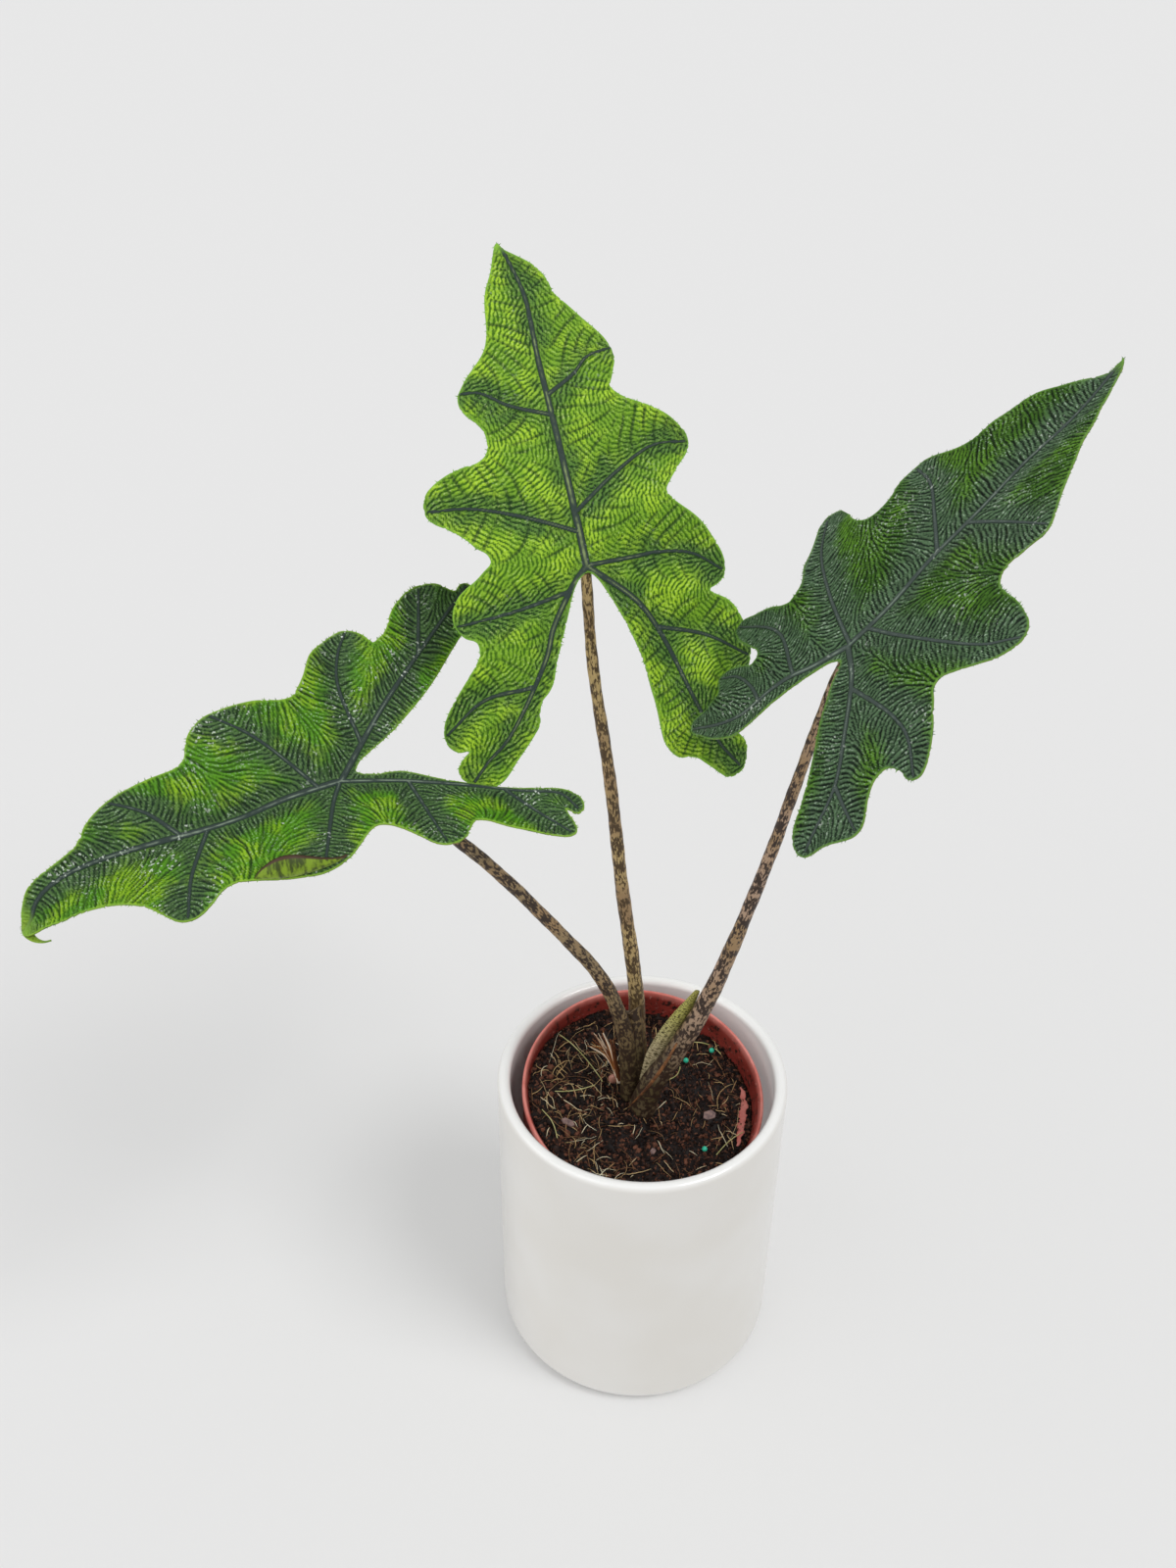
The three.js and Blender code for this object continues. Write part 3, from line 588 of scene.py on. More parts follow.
@dataclass(frozen=True)
class WaxyLeaf:
    """A living leaf with a waxy skin."""

    name: str
    tints: LeafTints

    def make(self) -> bpy.types.Material:
        """The material of the upper side and the underside."""
        made = Surface(self.name, 0.42, shine=0.16, reads=("open", "ridge", "line", "vein", "edge", "under"))
        ridge = made.total(made.mesh["ridge"], (made.add("TexNoise", made.grain(0.9, 2)), 2.2), -1.1)
        body = made.layered(self.upper_side(made, ridge), (made.mesh["under"], self.underside(made, ridge)))
        rough = made.add("MapRange", {"Value": made.share(-0.5, 0.8, ridge), "To Min": 0.6, "To Max": 0.32})
        return made.close(body, made.add("TexNoise", made.grain(0.8, 2)), 0.35, 0.9, rough)

    def upper_side(self, made: Surface, ridge: Socket) -> Socket:
        """Bright between the veins, grey-green along them, with painted glints on the ridge crests.

        Args:
            made: The surface.
            ridge: The ridges with fine noise, above 0 on their crests and below 0 between them.

        Returns:
            The colour of the upper side.
        """
        tints, mesh = self.tints, made.mesh
        blotch, patch = (made.add("TexNoise", made.grain(size, detail)) for size, detail in ((21, 2), (5, 3)))
        away = made.share(tints.open_from, tints.open_to, mesh["open"], (blotch, 1.5), (patch, 0.8), -1.15)
        # Crests painted lighter and grooves darker: painted highlight and painted shade on the ridges.
        crest = made.share(-0.8, 0.4, ridge)
        bright = made.layered(tints.crest, (made.blotches(13, 3, 0.42, 0.6), tints.pale))
        far = made.layered(tints.groove, (crest, bright))
        near = made.layered(tints.near_groove, (crest, tints.near_crest))
        # Painted glints: light specks on the ridge crests, standing in for highlights.
        glint = made.product(made.blotches(0.8, 1, 0.53, 0.65), made.share(-0.2, 0.8, ridge),
                             made.blotches(7, 3, 0.36, 0.6), tints.painted_glint_share)
        # A painted highlight along the middle of the veins.
        shine = made.product(made.share(0.8, 1.0, mesh["vein"]), made.blotches(9, 3, 0.4, 0.62), 0.4)
        # Painted reflection: scattered pale spots where the wax would catch the light.
        painted_sheen = made.product(made.blotches(1.5, 2, 0.6, 0.68), made.blotches(19, 2, 0.55, 0.64),
                           tints.painted_sheen_share)
        band = made.layered(tints.vein, (shine, tints.painted_highlight))
        # Painted shade darkens the vein flanks; the veins carry a painted highlight.
        return made.layered(near, (away, far), (made.product(mesh["line"], tints.line_share), tints.line),
                            (glint, tints.painted_highlight), (made.share(0.0, 0.3, mesh["vein"]), tints.near_groove),
                            (made.share(0.25, 0.55, mesh["vein"]), band), (painted_sheen, tints.painted_sheen),
                            (mesh["edge"], tints.edge))

    def underside(self, made: Surface, ridge: Socket) -> Socket:
        """Paler and matt, with the ridges showing through as a darker net and brown ribs.

        Args:
            made: The surface.
            ridge: The ridges with fine noise, above 0 on their crests and below 0 between them.

        Returns:
            The colour of the underside.
        """
        first, second, net, rib = self.tints.under
        return made.layered(first, (made.blotches(16, 3, 0.35, 0.7), second),
                            (made.share(0.2, -0.9, ridge), net),
                            (made.share(0.1, 0.5, made.mesh["vein"]), rib))


@dataclass(frozen=True)
class CurledUnderside:
    """The underside of a leaf where its edge curls up."""

    green: str = "#7d9a22"
    streak: str = "#39480f"
    border: str = "#4a3426"

    def make(self) -> bpy.types.Material:
        """Olive with dark streaks up to the edge, which is dry and brown."""
        made = Surface("leaf underside, olive", 0.5, shine=0.3, reads=("run", "turn", "border"))
        flat = made.add("CombineXYZ", {0: made.product(made.mesh["run"], MM),
                                       1: made.product(made.mesh["turn"], 0.4 * MM)})
        streak = made.add("TexNoise", made.grain(2.2, 3, flat))
        colour = made.layered(self.green, (made.share(0.4, 0.66, streak), self.streak),
                              (made.share(0.35, 0.75, made.mesh["border"]), self.border))
        return made.close(colour, streak, 0.3, 0.8)


@dataclass(frozen=True)
class MottledStalk:
    """The smooth skin of a leaf stalk."""

    name: str
    pale: str
    brown: str
    foot: str
    pale_patch: str = "#977b57"
    foot_patch: str = "#554a30"
    radius: float = 3.2

    def make(self) -> bpy.types.Material:
        """Dark brown dashes gathered in bands, as on snake skin, and a dark finely speckled foot."""
        made = Surface(self.name, 0.48, shine=0.35, reads=("run", "turn"))
        run = made.product(made.mesh["run"], MM)
        turn = made.product(made.mesh["turn"], 2 * math.pi)
        x, y = (made.product(made.add("Math", {"operation": kind, 0: turn}), self.radius * MM)
                for kind in ("COSINE", "SINE"))
        band = made.add("TexNoise", made.grain(4.2, 1, made.add("CombineXYZ", {0: x, 1: y, 2: run})))
        drawn = made.add("CombineXYZ", {0: x, 1: y, 2: made.product(run, 0.4)})
        dash = made.add("TexNoise", made.grain(0.95, 2, drawn, 0.6))
        lower = made.share(105, 30, made.mesh["run"])
        mark = made.share(0.565, 0.665, (band, 0.5), (dash, 0.75), (lower, 0.035))
        foot = made.layered(self.foot, (made.blotches(14, 2, 0.4, 0.6), self.foot_patch))
        colour = made.layered(self.pale, (made.blotches(25, 1, 0.35, 0.65), self.pale_patch), (lower, foot),
                              (mark, self.brown))
        return made.close(colour, dash, 0.18, 0.7)


@dataclass(frozen=True)
class GlazedCeramic:
    """A thick white glaze on stoneware, dipped and fired."""

    outside: str = "#e3e1dd"
    cloud: str = "#dfdcd6"
    # Painted light: the rim and inside are painted whiter than the outside.
    inside: str = "#f6f6f5"

    def make(self) -> bpy.types.Material:
        """Broad soft highlights, a trace of orange peel, and painted light whitening the rim and inside."""
        made = Surface("glazed ceramic, dipped and fired", 0.3, coat=0.7, reads=("inner",))
        colour = made.layered(self.outside, (made.blotches(60, 2, 0.3, 0.7), self.cloud),
                              (made.mesh["inner"], self.inside))
        return made.close(colour, made.add("TexNoise", made.grain(14, 2)), 0.12, 0.35)


@dataclass(frozen=True)
class MouldedPlastic:
    """Thin injection-moulded plastic, soiled inside."""

    # Red of the plastic, darkened as painted shade inside the pot.
    inside: tuple[str, str] = ("#86322a", "#6f251e")
    # Paler colours of the rim, a painted highlight where light falls on it from above.
    rim: tuple[str, str] = ("#dd8a80", "#cb6a5f")
    lime: str = "#d8a79c"
    dirt: str = "#2c1813"

    def make(self) -> bpy.types.Material:
        """Rim paled as painted highlight, red inside darkened as painted shade, lime and splashed soil."""
        made = Surface("salmon plastic, injection moulded", 0.42, shine=0.35, reads=("rim",))
        clod = made.add("TexNoise", made.grain(3.2, 4))
        crumb = made.add("TexNoise", made.grain(0.9, 2))
        rim = made.layered(self.rim[0], (made.blotches(9, 3, 0.35, 0.7), self.rim[1]))
        colour = made.layered(self.inside[0], (made.blotches(18, 3, 0.3, 0.7), self.inside[1]),
                              (made.product(made.blotches(2.2, 4, 0.6, 0.72), 0.3), self.lime),
                              (made.share(0.66, 0.76, clod, (crumb, 0.25)), self.dirt),
                              (made.mesh["rim"], rim))
        return made.close(colour, made.add("TexNoise", made.grain(1.2, 2)), 0.05, 0.3)


@dataclass(frozen=True)
class DampPeat:
    """Peat compost, pressed or crumbled, with lumps of one size."""

    name: str
    dark: str
    light: str
    size: float

    def make(self) -> bpy.types.Material:
        """Near-black matted crumbs with reddish-brown lights."""
        made = Surface(self.name, 0.55, shine=0.2, reads=("tint",))
        noise = made.add("TexNoise", made.grain(self.size, 4))
        colour = made.layered(self.dark, (made.share(0.45, 1.0, noise, made.mesh["tint"]), self.light))
        return made.close(colour, made.add("TexNoise", made.grain(self.size * 0.6, 3)), 0.6)


@dataclass(frozen=True)
class DryFibre:
    """Dead plant fibres, torn and dried."""

    name: str
    dark: str
    light: str
    bleached: str

    def make(self) -> bpy.types.Material:
        """Each strand has a shade of its own, from dark over light to bleached."""
        made = Surface(self.name, 0.6, shine=0.3, reads=("tint",))
        tint = made.mesh["tint"]
        return made.close(made.layered(self.dark, (made.share(0.1, 0.6, tint), self.light),
                                       (made.share(0.6, 1.0, tint), self.bleached)))


@dataclass(frozen=True)
class TwoTone:
    """A grown or pressed surface of two blotched colours."""

    name: str
    first: str
    second: str
    size: float
    roughness: float
    relief: float = 0.0

    def make(self) -> bpy.types.Material:
        """Soft blotches that keep the piece from looking painted, with fine relief where it has any."""
        made = Surface(self.name, self.roughness)
        colour = made.layered(self.first, (made.blotches(self.size, 3, 0.35, 0.65), self.second))
        if not self.relief:
            return made.close(colour)
        return made.close(colour, made.add("TexNoise", made.grain(self.size * 0.6, 3)), self.relief, 0.8)


@dataclass(frozen=True)
class YoungSkin:
    """The skin of a young sheath."""

    tan: str = "#b7a985"
    green: str = "#b5b25c"
    dash: str = "#4a4224"

    def make(self) -> bpy.types.Material:
        """Yellow-green above, tan below, with fine dark dashes across its ribs."""
        made = Surface("young sheath, ribbed", 0.5, shine=0.35, reads=("run", "turn"))
        flat = made.add("CombineXYZ", {0: made.product(made.mesh["turn"], 14 * MM),
                                       1: made.product(made.mesh["run"], 1.6 * MM)})
        dash = made.add("TexNoise", made.grain(1.1, 2, flat, 0.6))
        colour = made.layered(self.tan, (made.share(22, 60, made.mesh["run"]), self.green),
                              (made.share(0.47, 0.61, dash), self.dash))
        return made.close(colour, dash, 0.3, 0.7)


# Pots


def in_nursery(points: Points) -> Points:
    """Points given in the leaning nursery pot's frame, with its rim at height 0, in the plant's frame."""
    turn = np.array(Matrix.Rotation(LEAN_RIGHT, 3, "Y") @ Matrix.Rotation(LEAN_FORWARD, 3, "X"))
    return np.asarray(points, float) @ turn.T + NURSERY_CENTRE


@dataclass
class CoverPot:
    """The glazed cylinder that everything stands in."""

    finish: bpy.types.Material
    radius: float = 72.0
    height: float = 173.0
    bore: float = 65.6
    floor: float = 8.0
    foot_round: float = 9.0
    painted_light_reach: float = 1.5
    sides: int = 192

    def build(self) -> list[bpy.types.Object]:
        """Turns the wall, painted whiter from its rim inwards as painted light."""
        points, faces = lathe(self.profile(), self.sides)
        # inner marks the rim and inside, which are painted whiter as painted light.
        depth = self.radius - np.hypot(points[:, 0], points[:, 1])
        inner = np.clip(depth / self.painted_light_reach, 0, 1) * (points[:, 2] > self.floor / 2)
        pot = mesh_piece("glazed_cover_pot", points, faces, self.finish, {"inner": inner})
        return [fit_to_frame(pot, "glazed_ceramic", "cover_pot")]

    def profile(self) -> list[tuple[float, float]]:
        """Radius and height from the middle of the underside, over the rim, to the floor inside."""
        half = (self.radius - self.bore) / 2
        foot = [(self.radius - self.foot_round * (1 - math.sin(a)), self.foot_round * (1 - math.cos(a)))
                for a in np.linspace(0, math.pi / 2, 13)]
        outside = [(self.radius, z) for z in np.linspace(self.foot_round + 12, self.height - 18, 9)]
        rim = [(self.radius - half + half * math.cos(a), self.height - half + half * math.sin(a))
               for a in np.linspace(0, math.pi, 17)]
        inside = [(self.bore, z) for z in np.linspace(self.height - 18, self.floor + 4, 8)]
        corner = [(self.bore - 1.2, self.floor + 1.2), (self.bore - 4, self.floor)]
        return [(0, 0), *foot, *outside, *rim, *inside, *corner, (0, self.floor)]


@dataclass
class NurseryPot:
    """The thin plastic pot that leans in the cover pot."""

    finish: bpy.types.Material
    rim_radius: float = 60.5
    collar_radius: float = 58.7
    base_radius: float = 35.5
    wall: float = 1.6
    step: float = 2.5
    ledge_radius: float = 52.2
    ledge_width: float = 2.1
    ledge_reach: tuple[float, float] = (-26, 14)
    sides: int = 160

    def build(self) -> list[bpy.types.Object]:
        """Turns the rim, the collar and the tapered wall, and adds the ledge."""
        points, faces = lathe(self.profile(), self.sides)
        radius = np.hypot(points[:, 0], points[:, 1])
        # rim marks the rim top, painted paler as a painted highlight.
        rim = np.clip((radius - self.rim_radius + 2.0) / 0.6, 0, 1) * (points[:, 2] > -4.5)
        pot = mesh_piece("moulded_nursery_pot", in_nursery(points), faces, self.finish, {"rim": rim})
        return [fit_to_frame(pot, "pot_plastic", "nursery_pot"), self.ledge()]

    def profile(self) -> list[tuple[float, float]]:
        """Radius and height from the middle of the underside, over the rolled rim, to the floor inside."""
        rim, collar, base, foot = self.rim_radius, self.collar_radius, self.base_radius, -NURSERY_HEIGHT
        shoulder, inner = collar - self.step, collar - self.wall
        outside = [(0, foot), (base - 1, foot), (base, foot + 1), (shoulder, -NURSERY_COLLAR - 2),
                   (collar, -NURSERY_COLLAR), (collar, -4)]
        lip = [(rim - 0.3, -3.7), (rim, -3.3), (rim, -0.8), (rim - 0.25, -0.2), (rim - 0.8, 0),
               (rim - 1.3, -0.2), (rim - 1.6, -0.8), (inner + 0.7, -3.2), (inner, -5)]
        inside = [(inner, -NURSERY_COLLAR - 0.4), (shoulder - self.wall, -NURSERY_COLLAR - 2.4),
                  (base - self.wall, foot + self.wall), (0, foot + self.wall)]
        return [*outside, *lip, *inside]

    def ledge(self) -> bpy.types.Object:
        """The fold of the wall at the right, where the soil has sunk away, paled as painted highlight."""
        angle = np.linspace(*(math.radians(a) for a in self.ledge_reach), 40)
        radius = self.ledge_radius + 0.8 * np.sin(angle * 9) + 0.35 * np.sin(angle * 41)
        x, y = radius * np.cos(angle), radius * np.sin(angle)
        line = np.column_stack([x, y, soil_plane(x, y) + 0.5])

        def section(share: np.ndarray, turn: np.ndarray) -> tuple[np.ndarray, np.ndarray]:
            """A flat band with torn ends."""
            width = self.ledge_width * np.sin(math.pi * np.clip(share, 0.02, 0.98)) ** 0.5
            width = width * (1 + 0.2 * np.sin(share * 37) + 0.15 * np.sin(share * 83))
            return width + 0 * turn, 0.4 + 0 * width + 0 * turn

        points, faces, _ = tube(line, section, 12, (1.0, 0.0, 0.35))
        # The ledge takes 0.6 of the rim's paler colour, a painted highlight.
        band = mesh_piece("wall_ledge", in_nursery(points), faces, self.finish,
                          {"rim": np.full(len(points), 0.6)})
        return fit_to_frame(band, "pot_plastic")


# Soil


def soil_plane(x: np.ndarray, y: np.ndarray) -> np.ndarray:
    """Height of the CAD soil in the nursery pot's frame."""
    plane = -8.0 - 5.5 * y / 57.5 - 4.0 * x / 57.5
    return plane + 0.9 * (np.sin(x / 5.3 + 1) * np.cos(y / 6.1) + 0.6 * np.sin((x + 1.7 * y) / 8.7))


def soil_top(x: np.ndarray, y: np.ndarray) -> np.ndarray:
    """Height of the fine soil surface, with clods and crumbs on the CAD soil."""
    fine = 1.3 * lumps(x, y, 5.3, 3) + 0.7 * lumps(x, y, 2.3, 4) + 0.35 * lumps(x, y, 1.1, 5)
    return soil_plane(x, y) + fine - 0.6


@dataclass
class Soil:
    """The compost: a lumpy surface, scattered crumbs, loose fibres and grass stems."""

    ground: bpy.types.Material
    crumb: bpy.types.Material
    fibre: bpy.types.Material
    stem: bpy.types.Material
    step: float = 0.8
    sides: int = 360
    crumbs: int = 6400
    crumb_radius: float = 0.8
    fibres: int = 310
    fibre_steps: int = 9
    seed: int = 11

    def build(self) -> list[bpy.types.Object]:
        """Builds the surface first, because the crumbs are scattered on it."""
        surface = self.surface()
        return [surface, self.scatter(surface), self.strands(), self.straws()]

    def surface(self) -> bpy.types.Object:
        """The ground as rings of vertices, closed below by a plug."""
        rings = round(SOIL_RADIUS / self.step)
        radius = np.linspace(0, SOIL_RADIUS, rings + 1)[1:, None]
        angle = (np.arange(self.sides) * 2 * math.pi / self.sides)[None, :]
        x, y = radius * np.cos(angle), radius * np.sin(angle)
        top = np.stack([x, y, soil_top(x, y)], -1)
        wall = np.stack([x[-1], y[-1], np.full(self.sides, -NURSERY_COLLAR)], -1)
        foot = np.stack([x[-1] * 0.6, y[-1] * 0.6, np.full(self.sides, SOIL_FOOT)], -1)
        centre = (0, 0, float(soil_top(np.zeros(1), np.zeros(1))[0]))
        points, faces = stacked(np.concatenate([top, [wall], [foot]]), centre, (0, 0, SOIL_FOOT))
        attributes = {"tint": np.zeros(len(points)), "loose": np.zeros(len(points))}
        attributes["loose"][:rings * self.sides] = 1.0
        # The rings run outwards, so their faces are turned over. Crumbs fall by the corner a face starts from.
        upward = [f[::-1] if len(f) == 4 else (f[0], f[2], f[1]) for f in faces]
        piece = mesh_piece("compost", in_nursery(points), upward, self.ground, attributes)
        return fit_to_frame(piece, "compost", "soil")

    def scatter(self, surface: bpy.types.Object) -> bpy.types.Object:
        """Crumbs of peat on the ground, a few of them much larger than the rest.

        Args:
            surface: The ground, whose attribute loose marks where crumbs may lie.

        Returns:
            The crumbs as one plain mesh.
        """
        density, radius = "Crumbs per square metre", "Crumb radius"
        tree, size = new_tree("peat crumbs", (density, radius))
        ground = add_node(tree, "GeometryNodeObjectInfo", {"transform_space": "ORIGINAL", "Object": surface})
        loose = add_node(tree, "GeometryNodeInputNamedAttribute", {"data_type": "FLOAT", "Name": "loose"})
        points = add_node(tree, "GeometryNodeDistributePointsOnFaces", {
            "Seed": self.seed, "Mesh": ground.outputs["Geometry"], "Selection": loose.outputs["Attribute"],
            "Density": size[density]})
        ball = add_node(tree, "GeometryNodeMeshIcoSphere", {"Subdivisions": 1, "Radius": size[radius]})
        shape = add_node(tree, "FunctionNodeRandomValue", {
            "data_type": "FLOAT_VECTOR", "Seed": self.seed + 1, 0: (0.25, 0.2, 0.2), 1: (2.1, 1.6, 1.2)})
        spin = add_node(tree, "FunctionNodeRandomValue", {
            "data_type": "FLOAT_VECTOR", "Seed": self.seed + 2, 1: (6.3, 6.3, 6.3)})
        chance = add_node(tree, "FunctionNodeRandomValue", {"data_type": "FLOAT", "Seed": self.seed + 4})
        rare = add_node(tree, "Math", {"operation": "POWER", 0: chance.outputs[1], 1: 6.0})
        grown = add_node(tree, "Math", {"operation": "MULTIPLY_ADD", 0: rare.outputs[0], 1: 1.1, 2: 0.75})
        scale = add_node(tree, "VectorMath", {"operation": "SCALE", 0: shape.outputs[0], 3: grown.outputs[0]})
        crumbs = add_node(tree, "GeometryNodeInstanceOnPoints", {
            "Points": points.outputs["Points"], "Instance": ball.outputs["Mesh"],
            "Rotation": spin.outputs[0], "Scale": scale.outputs[0]})
        shade = add_node(tree, "FunctionNodeRandomValue", {
            "data_type": "FLOAT", "Seed": self.seed + 3, 2: -0.3, 3: 0.42})
        stored = add_node(tree, "GeometryNodeStoreNamedAttribute", {
            "data_type": "FLOAT", "domain": "INSTANCE", "Name": "tint",
            "Geometry": crumbs.outputs["Instances"], "Value": shade.outputs[1]})
        sizes = {density: self.crumbs / (math.pi * (SOIL_RADIUS * MM) ** 2), radius: self.crumb_radius * MM}
        piece = plain_from_nodes("peat_crumbs", tree, stored.outputs[0], self.crumb, sizes)
        return fit_to_frame(piece, "compost")

    def strands(self) -> bpy.types.Object:
        """Thin curved fibres that lie on the ground, thickest towards the left where the straw is."""
        rng = np.random.default_rng(self.seed)
        bundle = Bundle()
        while len(bundle.tints) < self.fibres:
            x, y = rng.uniform(-SOIL_RADIUS, SOIL_RADIUS, 2)
            if math.hypot(x, y) > SOIL_RADIUS - 3 or rng.random() > 0.3 + 0.7 * (x < -12):
                continue
            points, faces, _ = self.strand(rng, x, y)
            bundle.add(points, faces, rng.random())
        return fit_to_frame(bundle.piece("loose_fibres", self.fibre, in_nursery), "straw")

    def strand(self, rng: np.random.Generator, x: float, y: float) -> tuple[Points, Faces, dict]:
        """One fibre from a place on the ground, bent at random and lifted a little in its middle.

        Args:
            rng: The source of random numbers.
            x: Where the fibre starts, across.
            y: Where it starts, along.

        Returns:
            Its vertices, faces and attributes.
        """
        length, turn = rng.gamma(2.0, 3.3) + 2.0, rng.uniform(0, 2 * math.pi)
        curl, step = rng.normal(0, 0.055), length / self.fibre_steps
        line = [(x, y)]
        for _ in range(self.fibre_steps):
            turn += curl * step + rng.normal(0, 0.07)
            x, y = x + math.cos(turn) * step, y + math.sin(turn) * step
            line.append((x, y))
        flat = np.array(line)
        far = np.hypot(*flat.T)
        flat *= (np.minimum(far, SOIL_RADIUS - 1) / np.maximum(far, 1e-6))[:, None]
        lift = rng.uniform(0.1, 1.6) * np.sin(np.linspace(0, math.pi, len(flat))) + rng.uniform(0, 0.5)
        centre = np.column_stack([flat, soil_top(flat[:, 0], flat[:, 1]) + lift + 0.25])
        thick = rng.uniform(0.09, 0.23)

        def section(share: np.ndarray, angle: np.ndarray) -> tuple[np.ndarray, np.ndarray]:
            """A round section that tapers to both ends."""
            width = thick * (0.45 + 0.55 * np.sin(math.pi * share)) + 0 * angle
            return width, width

        return tube(centre, section, 4, (0.1, 0.2, 1.0))

    def straws(self) -> bpy.types.Object:
        """The longer pale grass stems that lie about, thinner than the CAD straws but in their places."""
        def section(share: np.ndarray, angle: np.ndarray) -> tuple[np.ndarray, np.ndarray]:
            """Thin and slightly flat, with narrow ends."""
            return 0.3 * np.sin(math.pi * (0.15 + 0.7 * share)) + 0 * angle, 0.24 + 0 * angle * share

        bundle = Bundle()
        for start, end, bow in STRAWS:
            start, end = np.array(start, float), np.array(end, float)
            share = np.linspace(0, 1, 14)[:, None]
            ahead = (end - start) / np.linalg.norm(end - start)
            flat = start + (end - start) * share + bow * np.sin(math.pi * share) * [-ahead[1], ahead[0]]
            height = np.maximum.accumulate(soil_top(*flat.T)) * 0.3 + soil_plane(*flat.T) * 0.7 + 1.1
            points, faces, _ = tube(spline(np.column_stack([flat, height]), 1.0), section, 8, (0.1, 0.2, 1.0))
            bundle.add(points, faces)
        piece = bundle.piece("grass_stems", self.stem, in_nursery)
        return fit_to_frame(piece, "straw", *(f"straw_{i + 1}" for i in range(len(STRAWS))))


# Blades


@dataclass(frozen=True)
class LeafForm:
    """How one blade stands and where its veins run.

    heading and rise are the midrib's direction at the stalk, and tilt turns the blade about it, in degrees.
    bend and lobe_bend are the midrib's curvature ahead of and behind the stalk. fold lifts each half and
    droop curves it back down. Veins are flat, in millimetres from the top of the stalk: across, then along.
    relief is the height of the fine ridges, stray how far they wander and turned the angle by which they
    cross the blade's own directions, in radians. spacing is the distance between the long dark lines. hairs
    is the share of places on the edge that carry one.
    """

    side: Side
    stalk_top: tuple[float, float, float]
    heading: float
    rise: float
    tilt: float
    bend: float
    lobe_bend: float
    fold: float
    droop: float
    midrib: tuple
    basal: tuple
    laterals: tuple
    tints: LeafTints
    relief: float
    stray: float
    turned: float
    spacing: float
    hairs: float
    seed: int


LEAVES = (
    LeafForm(
        side=Side.LEFT, stalk_top=(-128, -36, 380), heading=215, rise=5, tilt=27, bend=-0.0047,
        lobe_bend=0.0024, fold=20, droop=0.0,
        midrib=((0, 0), (0, 25), (-1, 45), (8, 111), (5, 125), (-4, 134)),
        basal=(((0, 0), (24, -28), (44, -57), (61, -84)),
               ((0, 0), (-10, -23), (-39, -66), (-47, -77), (-57, -79))),
        laterals=(((3, 67), (16, 75), (25, 85)), ((1, 10), (28, 27), (41, 39)),
                  ((13, -14), (39, -13), (51, -18), (58, -24)), ((41, -52), (66, -63)),
                  ((-1, 57), (-19, 69), (-37, 76)), ((-1, 1), (-10, 8), (-41, 26)),
                  ((-11, -25), (-48, -22)), ((-34, -58), (-50, -63), (-67, -70))),
        tints=LeafTints(crest="#5a981c", pale="#8dba22", groove="#37640f", near_crest="#4f703e",
                        near_groove="#203523", line="#121d15", vein="#36433f", edge="#8dba3e",
                        painted_highlight="#c0d4ba", open_from=0.0, open_to=0.75, painted_glint_share=0.7, line_share=0.85,
                        painted_sheen_share=0.85),
        relief=0.42, stray=0.3, turned=0.0, spacing=3.4, hairs=0.4, seed=21,
    ),
    LeafForm(
        side=Side.MIDDLE, stalk_top=(-30, 19, 449), heading=112, rise=60, tilt=4, bend=-0.004,
        lobe_bend=-0.0028, fold=-4, droop=0.0022,
        midrib=((0, 0), (-1, 41), (-1, 84), (1, 117), (-2, 141)),
        basal=(((0, 0), (19, -18), (26, -30), (40, -67), (49, -87), (58, -100)),
               ((0, 0), (-7, -7), (-18, -23), (-22, -33), (-43, -65), (-52, -73), (-59, -81))),
        laterals=(((0, 71), (12, 78), (20, 85), (31, 88)), ((0, 22), (20, 35), (39, 44), (54, 44)),
                  ((1, 0), (20, 0), (33, 0), (47, -3), (60, -12)), ((26, -30), (48, -38), (67, -51)),
                  ((-1, 62), (-17, 69), (-28, 77), (-36, 78)), ((-1, 14), (-20, 23), (-42, 31), (-58, 33)),
                  ((-9, -9), (-32, -13), (-55, -15)), ((-30, -45), (-50, -47), (-67, -59))),
        tints=LeafTints(crest="#80af2c", pale="#acd634", groove="#447016", near_crest="#5c8636",
                        near_groove="#1c3a18", line="#1c3a18", vein="#35433e", edge="#8ac047",
                        painted_highlight="#c9e08c", open_from=-0.15, open_to=0.5, painted_glint_share=0.65, line_share=0.85,
                        painted_sheen_share=0.15),
        relief=0.3, stray=0.6, turned=1.5, spacing=4.4, hairs=0.15, seed=22,
    ),
    LeafForm(
        side=Side.RIGHT, stalk_top=(69, -37, 447), heading=28, rise=44, tilt=11, bend=-0.001,
        lobe_bend=-0.004, fold=8, droop=0.005,
        midrib=((0, 0), (3, 20), (2, 44), (3, 68), (2, 92), (3, 116), (-2, 142)),
        basal=(((0, 0), (16, -8), (36, -28), (45, -41), (50, -66)),
               ((0, 0), (-8, -14), (-17, -26), (-27, -47), (-38, -57), (-53, -66))),
        laterals=(((4, 63), (22, 70), (38, 76)), ((3, 10), (22, 15), (55, 29), (66, 39)),
                  ((20, -11), (46, -9), (58, -11), (71, -20)), ((45, -41), (64, -48)),
                  ((2, 47), (-15, 59), (-30, 68), (-43, 70)), ((0, 1), (-29, 11), (-54, 22), (-70, 34)),
                  ((-15, -21), (-38, -13), (-69, -22)), ((-22, -38), (-31, -36), (-44, -37), (-54, -42))),
        tints=LeafTints(crest="#406b1b", pale="#5a8a24", groove="#122709", near_crest="#547150",
                        near_groove="#142318", line="#0c150f", vein="#45504c", edge="#6c9a3c",
                        painted_highlight="#b4c9b2", open_from=0.1, open_to=0.95, painted_glint_share=0.9, line_share=0.7,
                        painted_sheen_share=0.6),
        relief=0.42, stray=0.35, turned=0.0, spacing=3.4, hairs=0.45, seed=23,
    ),
)


